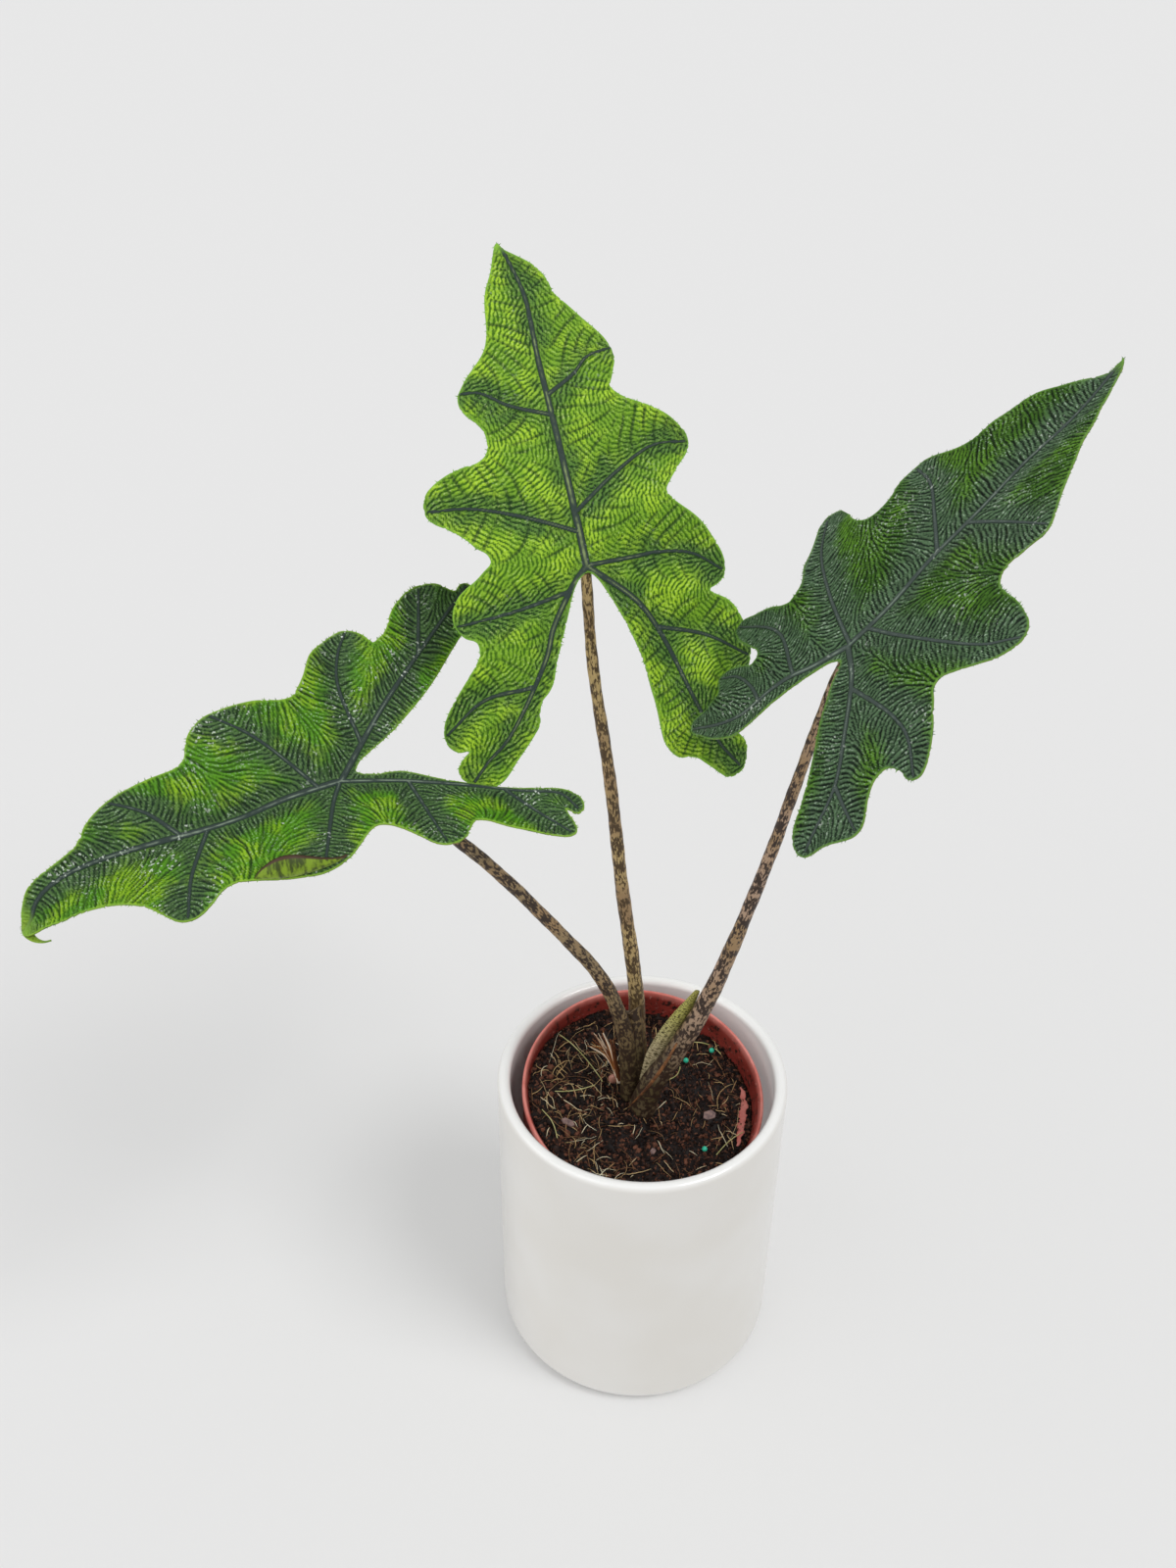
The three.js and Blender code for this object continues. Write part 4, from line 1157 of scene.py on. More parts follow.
class BentSheet:
    """Maps flat blade places to the bent blade and back."""

    def __init__(self, form: LeafForm) -> None:
        """Works out the blade's own directions.

        Args:
            form: How the blade stands.
        """
        heading, rise, tilt = (math.radians(a) for a in (form.heading, form.rise, form.tilt))
        self.form = form
        self.fold = math.radians(form.fold)
        self.forward = np.array([math.cos(rise) * math.cos(heading), math.cos(rise) * math.sin(heading),
                                 math.sin(rise)])
        level = np.cross(self.forward, [0, 0, 1])
        level /= np.linalg.norm(level)
        self.across = level * math.cos(tilt) + np.cross(level, self.forward) * math.sin(tilt)
        self.up = np.cross(self.across, self.forward)

    def place(self, u: np.ndarray, v: np.ndarray, lift: np.ndarray) -> Points:
        """Places in the plant's frame.

        Args:
            u: Distance across the flat blade.
            v: Distance along its midrib.
            lift: Height above the blade's middle surface.

        Returns:
            One row of x, y, z for each place.
        """
        curvature = np.where(v > 0, self.form.bend, self.form.lobe_bend)
        turn = curvature * v
        size = np.abs(u)
        chord, slope = self.fold - self.form.droop * size / 2, self.fold - self.form.droop * size
        local_up = -np.sin(turn)[..., None] * self.forward + np.cos(turn)[..., None] * self.up
        normal = np.cos(slope)[..., None] * local_up - (np.sign(u) * np.sin(slope))[..., None] * self.across
        return (np.array(self.form.stalk_top) + (np.sin(turn) / curvature)[..., None] * self.forward
                + ((1 - np.cos(turn)) / curvature)[..., None] * self.up
                + (u * np.cos(chord))[..., None] * self.across + (size * np.sin(chord))[..., None] * local_up
                + lift[..., None] * normal)

    def flatten(self, points: Points) -> tuple[np.ndarray, np.ndarray, np.ndarray]:
        """Finds points on the flat blade in a few Newton steps.

        Args:
            points: Points near the bent sheet.

        Returns:
            Their places across and along the flat blade, and their lifts.
        """
        state = np.stack([(points - self.form.stalk_top) @ self.across,
                          (points - self.form.stalk_top) @ self.forward, np.zeros(len(points))], -1)
        for _ in range(NEWTON_STEPS):
            here = self.place(*state.T)
            columns = []
            for i in range(3):
                ahead = state.copy()
                ahead[:, i] += 0.01
                columns.append((self.place(*ahead.T) - here) / 0.01)
            step = np.linalg.solve(np.stack(columns, -1), (points - here)[..., None])[..., 0]
            state += np.clip(step, -12, 12)
        return state[:, 0], state[:, 1], state[:, 2]


def blade_outline(node: bpy.types.Object, sheet: BentSheet) -> Points:
    """The flat outline of a blade, read from the rim of its CAD node.

    Args:
        node: The CAD blade.
        sheet: The sheet that the blade is bent to.

    Returns:
        Flat points round the rim, in order.
    """
    mesh = node.data
    mesh.calc_loop_triangles()
    places = np.array([v.co for v in mesh.vertices]) / MM
    _, first, same = np.unique(np.round(places, 3), axis=0, return_index=True, return_inverse=True)
    triangles = same.reshape(-1)[np.array([t.vertices for t in mesh.loop_triangles])]
    places = places[first]
    u, v, _ = sheet.flatten(places)
    a, b, c = (places[triangles[:, i]] for i in range(3))
    normal = np.cross(b - a, c - a)
    normal /= np.maximum(np.linalg.norm(normal, axis=1, keepdims=True), 1e-9)
    centre_u, centre_v = u[triangles].mean(1), v[triangles].mean(1)
    zero = np.zeros(len(triangles))
    facing = sheet.place(centre_u, centre_v, zero + 1) - sheet.place(centre_u, centre_v, zero)
    upper = triangles[(normal * facing).sum(1) > 0.35]
    edges = np.concatenate([upper[:, [0, 1]], upper[:, [1, 2]], upper[:, [2, 0]]])
    known = {tuple(e) for e in edges}
    following = {p: q for p, q in known if (q, p) not in known}
    loop = [next(iter(following))]
    while following[loop[-1]] != loop[0]:
        loop.append(following[loop[-1]])
    return np.stack([u[loop], v[loop]], -1)


def blurred(values: np.ndarray, sigma: float) -> np.ndarray:
    """Smooths values on the grid.

    Args:
        values: One value for each grid place.
        sigma: How far they are smoothed, in millimetres.

    Returns:
        The smoothed values.
    """
    fv, fu = np.meshgrid(np.fft.fftfreq(values.shape[0], GRID), np.fft.fftfreq(values.shape[1], GRID),
                         indexing="ij")
    weight = np.exp(-2 * (math.pi * sigma) ** 2 * (fu**2 + fv**2))
    return np.fft.ifft2(np.fft.fft2(values) * weight).real


class BladeGrid:
    """A blade laid out on a square grid: what lies inside, how far the veins and the edge are, the ridges."""

    def __init__(self, form: LeafForm, outline: Points) -> None:
        """Lays the grid and measures it.

        Args:
            form: The blade's veins and seeds.
            outline: Flat points round its rim.
        """
        self.form = form
        self.edge = spline(outline, GRID, closed=True)
        low, high = self.edge.min(0) - 3 * GRID, self.edge.max(0) + 3 * GRID
        self.u, self.v = np.meshgrid(np.arange(low[0], high[0], GRID), np.arange(low[1], high[1], GRID))
        self.inside = self.even_odd()
        self.edge_distance, self.nearest_edge = self.nearest(self.edge)
        lines, widths, tangents = self.vein_samples()
        self.vein_distance, index = self.nearest(lines)
        self.vein_width = widths[index]
        self.vein_tangent = tangents[index]
        self.direction = self.ridge_direction()

    def even_odd(self) -> np.ndarray:
        """Which grid places lie inside the edge."""
        inside = np.zeros(self.u.shape, bool)
        rows = self.v[:, 0]
        for a, b in zip(self.edge, np.roll(self.edge, -1, 0)):
            for row in np.nonzero((rows < a[1]) != (rows < b[1]))[0]:
                at = a[0] + (rows[row] - a[1]) * (b[0] - a[0]) / (b[1] - a[1])
                inside[row] ^= self.u[row] < at
        return inside

    def nearest(self, samples: Points, batch: int = 8000) -> tuple[np.ndarray, np.ndarray]:
        """Finds the sample nearest to each grid place.

        Args:
            samples: Flat points.
            batch: How many grid places are compared at a time.

        Returns:
            The distance to that sample, and its number.
        """
        flat = np.stack([self.u.ravel(), self.v.ravel()], -1)
        index = np.empty(len(flat), int)
        square = (samples**2).sum(1)
        for start in range(0, len(flat), batch):
            part = slice(start, start + batch)
            index[part] = (square - 2 * flat[part] @ samples.T).argmin(1)
        distance = np.linalg.norm(flat - samples[index], axis=1)
        return distance.reshape(self.u.shape), index.reshape(self.u.shape)

    def vein_samples(self) -> tuple[Points, np.ndarray, Points]:
        """Points on the veins, with each vein's half-width and direction there."""
        lines = [(self.form.midrib, *MIDRIB_WIDTHS), *((vein, *BASAL_WIDTHS) for vein in self.form.basal),
                 *((vein, *LATERAL_WIDTHS) for vein in self.form.laterals)]
        places, widths, tangents = [], [], []
        for points, wide, narrow in lines:
            line = spline(points, 0.7)
            ahead = np.gradient(line, axis=0)
            places.append(line)
            widths.append(wide + (narrow - wide) * np.linspace(0, 1, len(line)))
            tangents.append(ahead / np.linalg.norm(ahead, axis=1, keepdims=True))
        return np.concatenate(places), np.concatenate(widths), np.concatenate(tangents)

    def ridge_direction(self) -> np.ndarray:
        """The angle in which the ridges run: out of the veins towards their tips, then on to the edge."""
        rise = self.vein_distance / (self.vein_distance + self.edge_distance + 1e-6)
        fixed = (self.vein_distance < GRID) | ~self.inside
        for _ in range(RELAX_STEPS):
            beside = np.roll(rise, 1, 0) + np.roll(rise, -1, 0) + np.roll(rise, 1, 1) + np.roll(rise, -1, 1)
            rise = np.where(fixed, rise, beside / 4)
        slope_v, slope_u = np.gradient(rise)
        length = np.hypot(slope_u, slope_v) + 1e-9
        lean = 0.42 * np.exp(-self.vein_distance / 10)
        across = slope_u / length + lean * self.vein_tangent[..., 0]
        along = slope_v / length + lean * self.vein_tangent[..., 1]
        angle = np.arctan2(along, across)
        cosine, sine = blurred(np.cos(2 * angle), 2.0), blurred(np.sin(2 * angle), 2.0)
        return np.arctan2(sine, cosine) / 2 + 0.4 * lumps(self.u, self.v, 10, self.form.seed + 5)

    def ridges(self, period: float, seed: int, spread: float, stray: float, passes: int,
               turned: float = 0.0, bins: int = 12) -> np.ndarray:
        """Fingerprint-like ridges that follow the blade's directions.

        Args:
            period: Distance from ridge to ridge.
            seed: Seed of the noise that the ridges grow from.
            spread: Share by which the period may vary.
            stray: How far the ridges may stray from the blade's directions, in radians.
            passes: How often the ridges are drawn out.
            turned: Angle from the blade's directions to the ridges.
            bins: How many directions are filtered for.

        Returns:
            A value from -1 in the grooves to 1 on the crests for each grid place.
        """
        ridge = np.random.default_rng(seed).normal(size=self.u.shape)
        fv, fu = np.meshgrid(np.fft.fftfreq(self.u.shape[0], GRID), np.fft.fftfreq(self.u.shape[1], GRID),
                             indexing="ij")
        radius, angle = np.hypot(fu, fv), np.arctan2(fv, fu)
        band = np.exp(-0.5 * ((radius * period - 1) / spread) ** 2)
        filters = []
        for centre in np.arange(bins) * math.pi / bins:
            off = (angle - centre + math.pi / 2) % math.pi - math.pi / 2
            filters.append(band * np.exp(-0.5 * (off / stray) ** 2))
        slot = (self.direction + math.pi / 2 + turned) % math.pi / (math.pi / bins)
        lower = np.floor(slot).astype(int)
        share = slot - lower
        for _ in range(passes):
            spectrum = np.fft.fft2(ridge)
            layers = np.stack([np.fft.ifft2(spectrum * f).real for f in filters])
            pick = np.take_along_axis(layers, (lower % bins)[None], 0)[0]
            after = np.take_along_axis(layers, ((lower + 1) % bins)[None], 0)[0]
            ridge = pick * (1 - share) + after * share
            ridge = np.tanh(1.1 * ridge / (ridge[self.inside].std() + 1e-9))
        return ridge


@dataclass
class BladeSkin:
    """The grid places that a blade keeps, with their heights and what the finish reads there."""

    kept: np.ndarray
    rim: np.ndarray
    u: np.ndarray
    v: np.ndarray
    lift: np.ndarray
    under: np.ndarray
    values: dict[str, np.ndarray]

    def faces(self) -> Faces:
        """Quads of the kept places, and triangles where a corner is missing."""
        number = np.full(self.kept.shape, -1)
        number[self.kept] = np.arange(self.kept.sum())
        corners = np.stack([number[:-1, :-1], number[:-1, 1:], number[1:, 1:], number[1:, :-1]], -1)
        corners = corners.reshape(-1, 4)
        there = (corners >= 0).sum(1)
        whole = [tuple(c) for c in corners[there == 4]]
        return whole + [tuple(i for i in c if i >= 0) for c in corners[there == 3]]


@dataclass
class Leaf:
    """One blade with its veins and ridges, its hairs, and its curled edge and tip where it has them."""

    form: LeafForm
    slot: str
    upturned: tuple[float, float] | None = None
    upturned_height: float = 8.6
    hook: tuple[tuple[float, float, float], ...] = ()
    hair_length: float = 1.0
    hair_radius: float = 0.24
    finish: bpy.types.Material = field(init=False)
    hair_finish: bpy.types.Material = field(init=False)

    def __post_init__(self) -> None:
        """Makes the leaf's two materials."""
        tints, side = self.form.tints, self.form.side.value
        self.finish = WaxyLeaf(f"waxy leaf, {side}", tints).make()
        self.hair_finish = TwoTone(f"leaf hairs, {side}", tints.edge, tints.near_crest, 4, 0.5).make()

    def build(self) -> list[bpy.types.Object]:
        """Grows the blade on its grid and bends it to its place."""
        side = self.form.side.value
        sheet = BentSheet(self.form)
        grid = BladeGrid(self.form, blade_outline(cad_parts[f"blade_{side}"], sheet))
        skin = self.skin(grid)
        kept = skin.kept
        front = sheet.place(skin.u[kept], skin.v[kept], skin.lift[kept])
        back = sheet.place(skin.u[kept], skin.v[kept], skin.under[kept])
        points, faces = two_faced(front, back, skin.faces())
        attributes = {key: np.tile(value[kept], 2) for key, value in skin.values.items()}
        attributes["under"] = np.repeat([0.0, 1.0], len(front))
        blade = mesh_piece(f"leaf_{side}", points, faces, self.finish, attributes)
        pieces = [fit_to_frame(blade, self.slot, f"blade_{side}"), self.margin_hairs(sheet, grid, skin)]
        if self.hook:
            pieces.append(self.hooked_tip(sheet))
        if self.upturned:
            pieces.append(self.upturned_margin(sheet, grid.edge))
        return pieces

    def skin(self, grid: BladeGrid) -> BladeSkin:
        """The blade's heights: domed between the veins, with ridges, long lines, veins and a waved margin.

        Args:
            grid: The blade's grid.

        Returns:
            The heights and what the finish reads.
        """
        form = self.form
        ridge = grid.ridges(RIDGE_PERIOD, form.seed, 0.38, form.stray, passes=3, turned=form.turned)
        ridge = np.where(ridge > 0, CREST_SHARE * ridge, ridge)
        long_ridge = grid.ridges(form.spacing, form.seed + 40, spread=0.42, stray=0.24, passes=4)
        line = np.clip(long_ridge * 4.0 - 3.0, 0, 1)
        rim = (grid.inside | (grid.edge_distance < GRID / 2)) & (grid.edge_distance < GRID / 2)
        u = np.where(rim, grid.edge[grid.nearest_edge][..., 0], grid.u)
        v = np.where(rim, grid.edge[grid.nearest_edge][..., 1], grid.v)
        margin = np.where(rim, 0, grid.edge_distance)
        vein_at = grid.vein_distance / grid.vein_width
        band = np.clip(1 - vein_at**2, 0, 1)
        quilt = QUILT_HEIGHT * (1 - np.exp(-((grid.vein_distance / QUILT_REACH) ** 2)))
        calm = np.clip(vein_at - 0.8, 0, 1) * np.clip(margin / CALM_EDGE, 0, 1)
        wave = WAVE_HEIGHT * lumps(u, v, WAVE_SIZE, form.seed) * np.exp(-margin / WAVE_REACH)
        groove = VEIN_GROOVE * np.clip(1 - 3 * vein_at**2, 0, 1) * (grid.vein_width > 0.9)
        vein = VEIN_RISE * np.sqrt(band) - groove
        tip = np.clip((v - grid.edge[:, 1].max() + TIP_LENGTH) / TIP_LENGTH, 0, TIP_SHARE)
        return BladeSkin(
            kept=grid.inside | rim, rim=rim, u=u, v=v,
            lift=quilt + vein + (form.relief * ridge - LINE_DEPTH * line) * calm + wave,
            under=quilt - BLADE_THICKNESS - RIB_DEPTH * np.sqrt(band) * grid.vein_width / RIB_WIDTH + wave,
            values={"ridge": ridge * calm, "line": line * calm, "vein": band,
                    "edge": np.maximum(np.clip(1 - margin / EDGE_BAND, 0, 1), tip),
                    "open": np.clip((blurred(grid.vein_distance, 1.5) - OPEN_FROM) / OPEN_SPAN, 0, 1)})

    def margin_hairs(self, sheet: BentSheet, grid: BladeGrid, skin: BladeSkin) -> bpy.types.Object:
        """Short stiff hairs along the edge.

        Args:
            sheet: The sheet that the blade is bent to.
            grid: The blade's grid.
            skin: The blade's heights.

        Returns:
            The hairs as one plain mesh.
        """
        rng = np.random.default_rng(self.form.seed)
        u, v, lift = skin.u[skin.rim], skin.v[skin.rim], skin.lift[skin.rim]
        ahead = np.gradient(grid.edge, axis=0)[grid.nearest_edge[skin.rim]]
        x, y = grid.edge.T
        sense = np.sign((x * np.roll(y, -1) - np.roll(x, -1) * y).sum())
        outward = sense * np.stack([ahead[:, 1], -ahead[:, 0]], -1) / np.linalg.norm(ahead, axis=1)[:, None]
        outward += rng.normal(0, 0.35, outward.shape)
        picked = rng.random(len(u)) < self.form.hairs
        low = lift[picked] - 0.35
        roots = sheet.place(u[picked], v[picked], low)
        tips = sheet.place((u + outward[:, 0])[picked], (v + outward[:, 1])[picked],
                           low + rng.normal(0.25, 0.3, picked.sum()))
        seeds = mesh_piece("hair_roots", roots, [], self.finish)
        layer = seeds.data.attributes.new("outward", "FLOAT_VECTOR", "POINT")
        layer.data.foreach_set("vector", (tips - roots).astype(np.float32).ravel())
        length, radius = "Hair length", "Hair root radius"
        tree, size = new_tree("margin hairs", (length, radius))
        points = add_node(tree, "GeometryNodeObjectInfo", {"transform_space": "ORIGINAL", "Object": seeds})
        aim = add_node(tree, "GeometryNodeInputNamedAttribute",
                       {"data_type": "FLOAT_VECTOR", "Name": "outward"})
        turned = add_node(tree, "FunctionNodeAlignRotationToVector",
                          {"axis": "Z", "Vector": aim.outputs["Attribute"]})
        scale = add_node(tree, "FunctionNodeRandomValue",
                         {"data_type": "FLOAT", "Seed": self.form.seed, 2: 0.5, 3: 1.2})
        hair = add_node(tree, "GeometryNodeMeshCone", {"Vertices": 4, "Radius Top": 0.03 * MM,
                                                       "Radius Bottom": size[radius], "Depth": size[length]})
        hairs = add_node(tree, "GeometryNodeInstanceOnPoints", {
            "Points": points.outputs["Geometry"], "Instance": hair.outputs["Mesh"],
            "Rotation": turned.outputs["Rotation"], "Scale": scale.outputs[1]})
        sizes = {length: self.hair_length * MM, radius: self.hair_radius * MM}
        piece = plain_from_nodes(f"margin_hairs_{self.form.side.value}", tree, hairs.outputs[0],
                                 self.hair_finish, sizes)
        bpy.data.objects.remove(seeds)
        return fit_to_frame(piece, self.slot)

    def upturned_margin(self, sheet: BentSheet, edge: Points) -> bpy.types.Object:
        """The stretch of the front edge that curls up and shows its underside.

        Args:
            sheet: The sheet that the blade is bent to.
            edge: Flat points round the blade.

        Returns:
            The curled flap, a thin closed shell.
        """
        low, high = self.upturned
        line = edge[(edge[:, 1] > low) & (edge[:, 1] < high) & (edge[:, 0] < -25)]
        line = spline(line[np.argsort(line[:, 1])][::5], 0.7)
        share = np.linspace(0, 1, len(line))[:, None]
        rise = np.linspace(0, 1, 13)[None, :]
        height = self.upturned_height * np.sin(math.pi * share**1.6) ** 0.9 + 0.3
        ahead = np.gradient(line, axis=0)
        inward = np.stack([ahead[:, 1], -ahead[:, 0]], -1) / np.linalg.norm(ahead, axis=1, keepdims=True)
        shift = 0.6 + height * (0.3 * rise**2 - 0.24 * np.sin(math.pi * rise))
        lift = QUILT_HEIGHT + height * rise - 0.6
        layers = []
        for offset in (0.0, BLADE_THICKNESS):
            flat = line[:, None] + inward[:, None] * (shift + offset)[..., None]
            layers.append(sheet.place(flat[..., 0], flat[..., 1], lift).reshape(-1, 3))
        points, faces = two_faced(*layers, grid_faces(*lift.shape, closed=False))
        border = np.maximum(rise**10, 1 - np.clip(height / 2.5, 0, 1)) + 0 * share
        border = np.maximum(border, 0.8 * (1 - rise) ** 8)
        attributes = {"border": border, "run": share * 38 + 0 * rise, "turn": rise * 10 + 0 * share}
        flap = mesh_piece("upturned_margin", points, faces, CurledUnderside().make(),
                          {key: np.tile(value.ravel(), 2) for key, value in attributes.items()})
        return fit_to_frame(flap, self.slot)

    def hooked_tip(self, sheet: BentSheet) -> bpy.types.Object:
        """The drawn-out tip of the blade, curled back under it.

        Args:
            sheet: The sheet that the blade is bent to.

        Returns:
            The tip.
        """
        line = spline(sheet.place(*np.array(self.hook, float).T), 0.5)

        def section(share: np.ndarray, angle: np.ndarray) -> tuple[np.ndarray, np.ndarray]:
            """Flat, and tapered to a point."""
            return 2.4 * (1 - share) ** 0.8 + 0.15 + 0 * angle, 0.35 + 0.3 * (1 - share) + 0 * angle

        points, faces, _ = tube(line, section, 12, sheet.forward)
        tip = mesh_piece("curled_leaf_tip", points, faces, self.finish,
                         {"open": np.full(len(points), 1.0), "under": np.full(len(points), 0.45)})
        return fit_to_frame(tip, self.slot)


# Stalks


@dataclass(frozen=True)
class StalkForm:
    """A stalk's route up to its blade, its radii, and the share of it that swells towards the foot."""

    side: Side
    route: tuple[tuple[float, float, float], ...]
    radii: tuple[float, ...]
    foot: float

    def section(self) -> Section:
        """The half-widths of the stalk: swollen at the foot and faintly knobbly."""
        def widths(share: np.ndarray, angle: np.ndarray) -> tuple[np.ndarray, np.ndarray]:
            """Half-widths at a share of the length."""
            radius = np.interp(share, np.linspace(0, 1, len(self.radii)), self.radii)
            radius = radius + 1.0 * np.clip(1 - share / (self.foot * 1.3), 0, 1) ** 0.8
            knobs = 0.1 * np.sin(share * 61 + 2 * np.cos(angle)) + 0.06 * np.sin(share * 190 + 3 * angle)
            return radius + knobs, radius + knobs
        return widths


STALKS = (
    StalkForm(Side.LEFT, ((-5, 2, 148), (-8, -1, 194), (-12, -3, 216), (-22, -7, 246), (-43, -13, 282),
                          (-71, -21, 325), (-97, -28, 357), (-112, -32, 370)), (4.4, 2.9, 2.7), 0.2),
    StalkForm(Side.MIDDLE, ((0, 4, 148), (-3, 5, 192), (-4, 6, 219), (-7, 8, 246), (-12, 10, 283),
                            (-19, 14, 346), (-27, 17, 403)), (4.4, 3.0, 2.2), 0.18),
    StalkForm(Side.RIGHT, ((-1, -6, 148), (4, -8, 173), (13, -10, 195), (28, -14, 238), (48, -22, 326),
                           (58, -29, 385), (66, -35, 431)), (6.2, 3.0, 1.9), 0.1),
)


@dataclass
class Stalks:
    """The three stalks and the stem base that they grow from."""

    finishes: dict[Side, bpy.types.Material]
    edge_finish: bpy.types.Material
    sides: int = 28
    end_lift: float = -1.6
    pressed: float = 14.0

    def build(self) -> list[bpy.types.Object]:
        """Builds each stalk in one run from its blade into the soil."""
        pieces = []
        for form, leaf in zip(STALKS, LEAVES):
            sheet = BentSheet(leaf)
            end = sheet.place(np.zeros(1), np.zeros(1), np.full(1, self.end_lift))[0]
            line = spline([*form.route, end], 1.5)
            points, faces, attributes = tube(line, form.section(), self.sides, (0, 1, 0))
            points = self.under_blade(points, end, sheet)
            piece = mesh_piece(f"mottled_stalk_{form.side.value}", points, faces, self.finishes[form.side],
                               attributes)
            pieces.append(fit_to_frame(piece, "stalk", f"stalk_{form.side.value}"))
        return [*pieces, self.joined_base(), self.papery_edge()]

    def under_blade(self, points: Points, end: Points, sheet: BentSheet) -> Points:
        """Presses the last stretch of a stalk down to the underside of its blade.

        Args:
            points: The stalk's vertices.
            end: The end of its centre line.
            sheet: The sheet that the blade is bent to.

        Returns:
            The moved vertices.
        """
        close = np.linalg.norm(points - end, axis=1) < self.pressed
        u, v, lift = sheet.flatten(points[close])
        points[close] = sheet.place(u, v, np.minimum(lift, -1.0))
        return points

    def joined_base(self) -> bpy.types.Object:
        """The wedge in which the left and middle stalks clasp each other above the soil."""
        heights = np.linspace(150, 220, 60)
        ends = []
        for form in STALKS[:2]:
            route = np.array(form.route[:4], float)
            ends.append(np.stack([np.interp(heights, route[:, 2], route[:, i]) for i in range(3)], -1))
        line = (ends[0] + ends[1]) / 2
        line[:, 1] -= 0.4
        half = np.linalg.norm(ends[0] - ends[1], axis=1)[:, None] / 2

        def section(share: np.ndarray, angle: np.ndarray) -> tuple[np.ndarray, np.ndarray]:
            """Broad and round at the foot, thin between the stalks at the top."""
            width = half + 3.6 * (1 - share) ** 0.7
            depth = 5.2 * (1 - share) ** 0.6 + 0.5
            return width + 0 * angle, depth + 0.12 * np.sin(angle * 9 + share * 20)

        points, faces, attributes = tube(line, section, 40, (1, -0.3, 0))
        share = np.clip((attributes["run"] / attributes["run"].max() - 0.75) / 0.25, 0, 1)
        off = np.linalg.norm(points - line[-1], axis=1) / half[-1, 0]
        points[:, 2] -= 5.5 * share**2 * np.clip(1 - off**2, 0, 1)
        base = mesh_piece("clasping_stem_base", points, faces, self.finishes[Side.LEFT], attributes)
        return fit_to_frame(base, "stem_base", "stem_base")

    def papery_edge(self) -> bpy.types.Object:
        """The brown papery edge of the right stalk's own sheath, down to the soil."""
        route = ((15, -16.5, 212), (9.5, -15.6, 196), (3, -14.6, 181), (-3.5, -13, 168), (-7, -10.6, 160))

        def section(share: np.ndarray, angle: np.ndarray) -> tuple[np.ndarray, np.ndarray]:
            """A thin rounded welt that fades out at the top."""
            width = 0.85 * np.sin(math.pi * np.clip(share * 0.8 + 0.15, 0, 1)) + 0.1 + 0 * angle
            return width, width * 0.7

        points, faces, _ = tube(spline(route, 0.8), section, 10, (1, 0, 1))
        return fit_to_frame(mesh_piece("papery_sheath_edge", points, faces, self.edge_finish), "dried_stub")


@dataclass
class YoungSheath:
    """The ribbed green sheath that clasps the right stalk."""

    finish: bpy.types.Material
    route: tuple = ((3, -3, 172), (8, -4, 194), (13.5, -6, 212), (18.5, -8, 226), (23.5, -10, 240))
    widths: tuple[float, ...] = (4.6, 6.2, 5.6, 4.0, 1.3)
    depths: tuple[float, ...] = (2.4, 2.8, 2.6, 2, 0.8)
    ribs: int = 14

    def build(self) -> list[bpy.types.Object]:
        """Sweeps a flat ribbed section up the sheath."""
        def section(share: np.ndarray, angle: np.ndarray) -> tuple[np.ndarray, np.ndarray]:
            """A pointed oval with shallow ribs."""
            at = np.linspace(0, 1, len(self.widths))
            rib = 1 + 0.05 * np.cos(angle * self.ribs)
            return np.interp(share, at, self.widths) * rib, np.interp(share, at, self.depths) * rib

        points, faces, attributes = tube(spline(self.route, 0.8), section, 4 * self.ribs, (1, 0.25, -0.2))
        piece = mesh_piece("ribbed_sheath", points, faces, self.finish, attributes)
        return [fit_to_frame(piece, "green_sheath", "new_sheath")]


@dataclass
class DriedStub:
    """The fan of dry fibres left by an old stalk."""

    finish: bpy.types.Material
    foot: tuple[float, float, float] = (-11, 3, 163)
    strands: int = 16
    seed: int = 5

    def build(self) -> list[bpy.types.Object]:
        """Fans thin curved strands out of one foot."""
        rng = np.random.default_rng(self.seed)
        bundle = Bundle()
        for spread in np.linspace(-1, 1, self.strands):
            tip = np.array([-21.5 + 5.5 * spread + rng.normal(0, 0.8), 4 + rng.normal(0, 1.2),
                            203 - 9 * abs(spread) - rng.uniform(0, 8)])
            middle = np.array([-16 + 2.2 * spread, 3.5 + rng.normal(0, 0.6), 183 + rng.normal(0, 2)])
            line = spline([self.foot, middle, tip], 1.2)
            points, faces, _ = tube(line, self.section(rng.uniform(0.4, 1.2)), 6, (1, 0.2, 0))
            bundle.add(points, faces, rng.random())
        return [fit_to_frame(bundle.piece("dried_fibres", self.finish), "dried_stub", "old_stub")]

    def section(self, thick: float) -> Section:
        """A flat strand that thins to its tip.

        Args:
            thick: Its half-width at a quarter of its length.

        Returns:
            The strand's section.
        """
        def widths(share: np.ndarray, angle: np.ndarray) -> tuple[np.ndarray, np.ndarray]:
            """Half-widths at a share of the length."""
            width = thick * (1.25 - share) + 0 * angle
            return width, width * 0.5
        return widths


# Picture


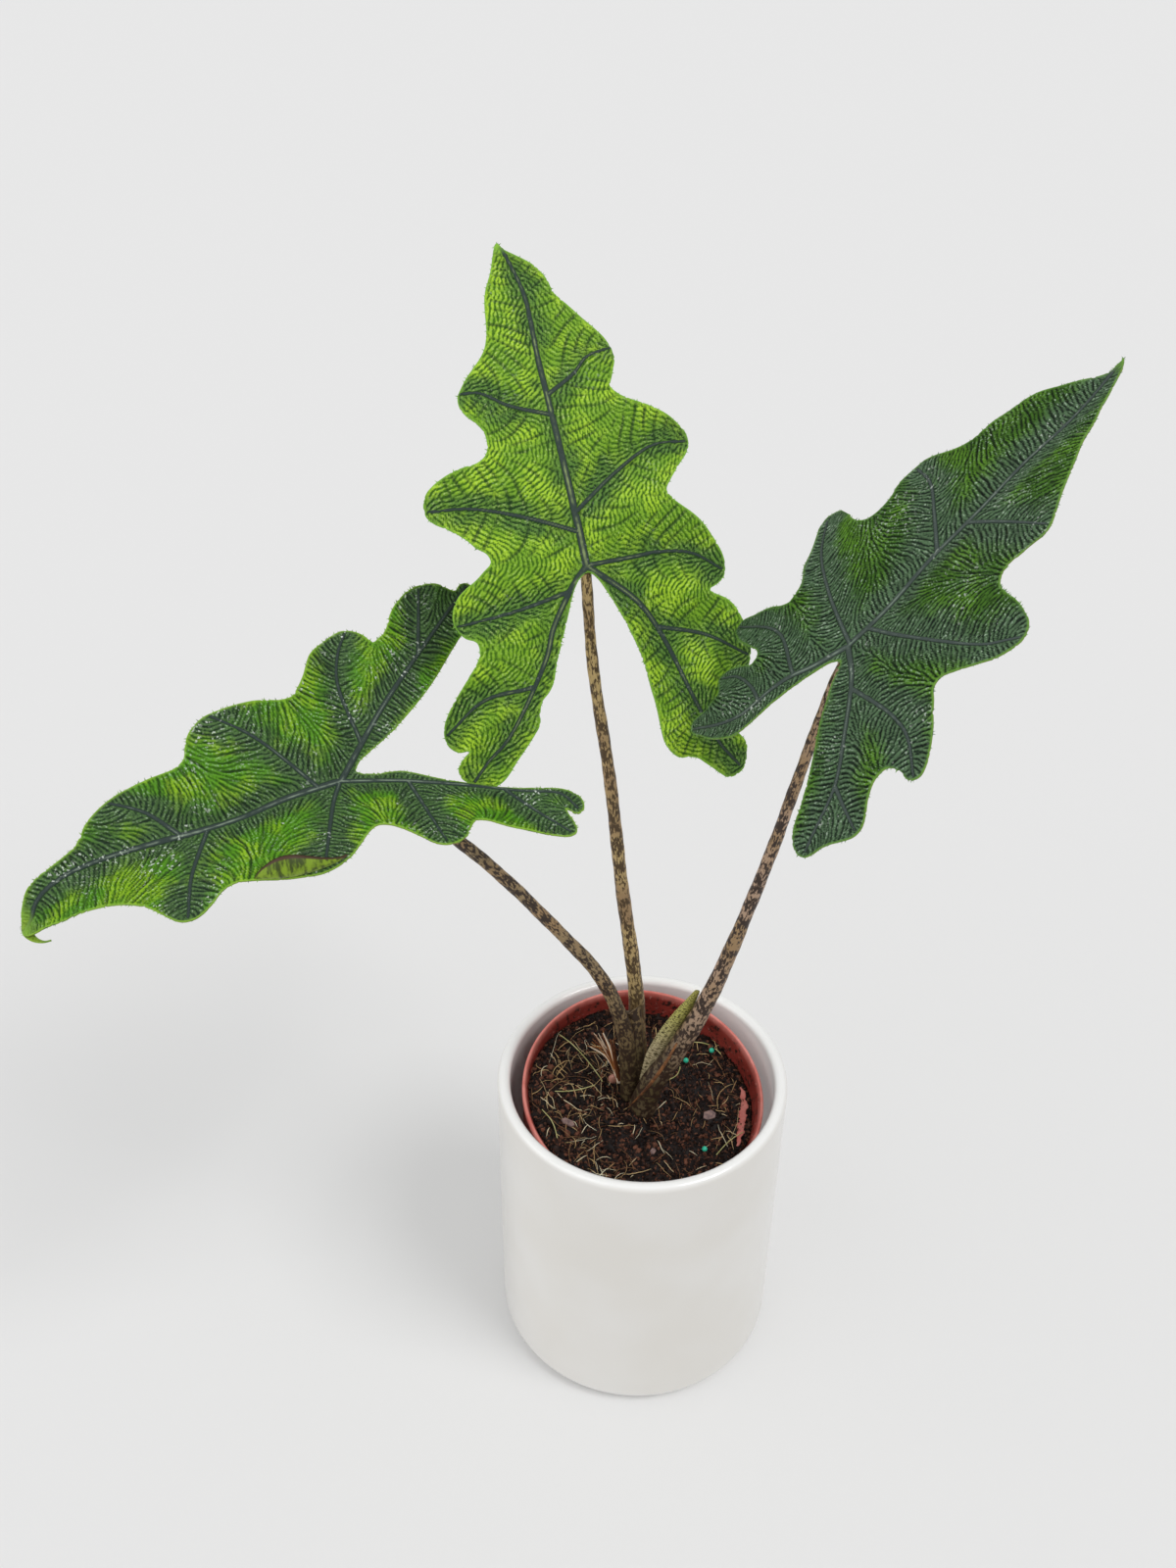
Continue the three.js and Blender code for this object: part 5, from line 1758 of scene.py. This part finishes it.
@dataclass
class Studio:
    """The pale floor, the soft light from the right and the camera."""

    camera_place: tuple[float, float, float] = (-0.0285, -0.554, 0.772)
    pitch: float = 37.1
    roll: float = 0.6
    focal_pixels: float = 1650.0
    picture_height: float = 1600.0
    floor_size: float = 6000.0
    floor_drop: float = 0.2
    room_light: float = 0.6

    def build(self) -> None:
        """Adds floor, light, world and camera."""
        reach, low = self.floor_size, -self.floor_drop
        corners = np.array([[-reach, -reach, low], [reach, -reach, low], [reach, reach, low],
                            [-reach, reach, low]])
        paint = Surface("painted floor, matt", 0.9, shine=0.0).close("#e6e6e6")
        floor = mesh_piece("floor", corners, [(0, 1, 2, 3)], paint, smooth=False)
        self.sun("soft key from the right", bearing=-32, height=55, energy=0.95, softness=26, shadows=True)
        self.sun("fill from the left", bearing=-155, height=38, energy=0.85, softness=60, shadows=False)
        world = bpy.data.worlds.new("soft room")
        world.use_nodes = True
        background = world.node_tree.nodes["Background"].inputs
        background["Color"].default_value = (1, 1, 1, 1)
        background["Strength"].default_value = self.room_light
        bpy.context.scene.world = world
        self.camera()
        bpy.context.scene.view_settings.view_transform = "Standard"

    def sun(self, name: str, bearing: float, height: float, energy: float, softness: float,
            shadows: bool) -> None:
        """Adds a distant lamp.

        Args:
            name: The lamp's name.
            bearing: Where it stands, in degrees from +X towards +Y.
            height: How high it stands, in degrees above the floor.
            energy: Its strength.
            softness: How wide it looks, in degrees.
            shadows: Whether it casts shadows.
        """
        sun = bpy.data.lights.new(name, "SUN")
        sun.energy, sun.angle, sun.use_shadow = energy, math.radians(softness), shadows
        lamp = bpy.data.objects.new(name, sun)
        flat = math.cos(math.radians(height))
        towards = Vector((-math.cos(math.radians(bearing)) * flat, -math.sin(math.radians(bearing)) * flat,
                          -math.sin(math.radians(height))))
        lamp.rotation_euler = towards.to_track_quat("-Z", "Y").to_euler()
        bpy.context.scene.collection.objects.link(lamp)

    def camera(self) -> None:
        """Adds the camera at the photo's viewing angle."""
        camera = bpy.data.cameras.new("camera")
        camera.sensor_fit = "VERTICAL"
        camera.sensor_height = 36.0
        camera.lens = self.focal_pixels * camera.sensor_height / self.picture_height
        holder = bpy.data.objects.new("camera", camera)
        holder.matrix_world = (Matrix.Translation(self.camera_place)
                               @ Matrix.Rotation(math.radians(90 - self.pitch), 4, "X")
                               @ Matrix.Rotation(math.radians(self.roll), 4, "Z"))
        bpy.context.scene.collection.objects.link(holder)
        bpy.context.scene.camera = holder


def paint_small_nodes() -> None:
    """Gives each small CAD node on the soil its finish."""
    finishes = {
        "bud": TwoTone("young bud, smooth", "#b98070", "#8f6250", 3, 0.5).make(),
        "pellet": TwoTone("coated fertiliser bead", "#1fae8d", "#37c3a2", 2, 0.35).make(),
        "bark": TwoTone("weathered bark, split", "#5f4c4c", "#8a6f68", 2.5, 0.8, 0.4).make(),
    }
    for name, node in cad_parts.items():
        for start, finish in finishes.items():
            if name.startswith(start):
                node.data.materials.clear()
                node.data.materials.append(finish)


def main() -> None:
    """Builds the plant from the pots up and logs each piece."""
    logging.basicConfig(level=logging.INFO, format="%(name)s: %(message)s")
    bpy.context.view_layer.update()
    stalk_finishes = {
        Side.LEFT: MottledStalk("mottled stalk, brown", "#8d7958", "#33251a", "#63553a").make(),
        Side.MIDDLE: MottledStalk("mottled stalk, golden", "#b59c69", "#4b391f", "#6e5f3c").make(),
        Side.RIGHT: MottledStalk("mottled stalk, pinkish", "#ac9079", "#33241a", "#685a44").make(),
    }
    left, middle, right = LEAVES
    assemblies = [
        CoverPot(GlazedCeramic().make()),
        NurseryPot(MouldedPlastic().make()),
        Soil(ground=DampPeat("damp peat, pressed", "#100806", "#452a20", 4.0).make(),
             crumb=DampPeat("damp peat, crumbled", "#140a08", "#704634", 1.6).make(),
             fibre=DryFibre("dry fibre, torn", "#7a583a", "#ccac78", "#f0e8c8").make(),
             stem=TwoTone("dry grass stem, cut", "#c2bd84", "#9a9a5c", 6, 0.55).make()),
        Stalks(stalk_finishes,
               TwoTone("papery sheath edge, dried", "#8a5a30", "#4c2d19", 3, 0.6, 0.2).make()),
        YoungSheath(YoungSkin().make()),
        DriedStub(DryFibre("dried stub, frayed", "#6b3c20", "#b07540", "#e8d6bd").make()),
        Leaf(left, "blade_green", upturned=(16.0, 51.0),
             hook=((0, 132, -0.6), (-4, 134, -1.1), (-8.5, 132.3, -1.6), (-12, 129, -1.8),
                   (-14, 125.5, -1.2))),
        Leaf(middle, "blade_pale"),
        Leaf(right, "blade_dark"),
    ]
    for assembly in assemblies:
        for piece in assembly.build():
            LOG.info("%s: %d faces", piece.name, len(piece.data.polygons))
    paint_small_nodes()
    Studio().build()


if __name__ == "__main__":
    main()
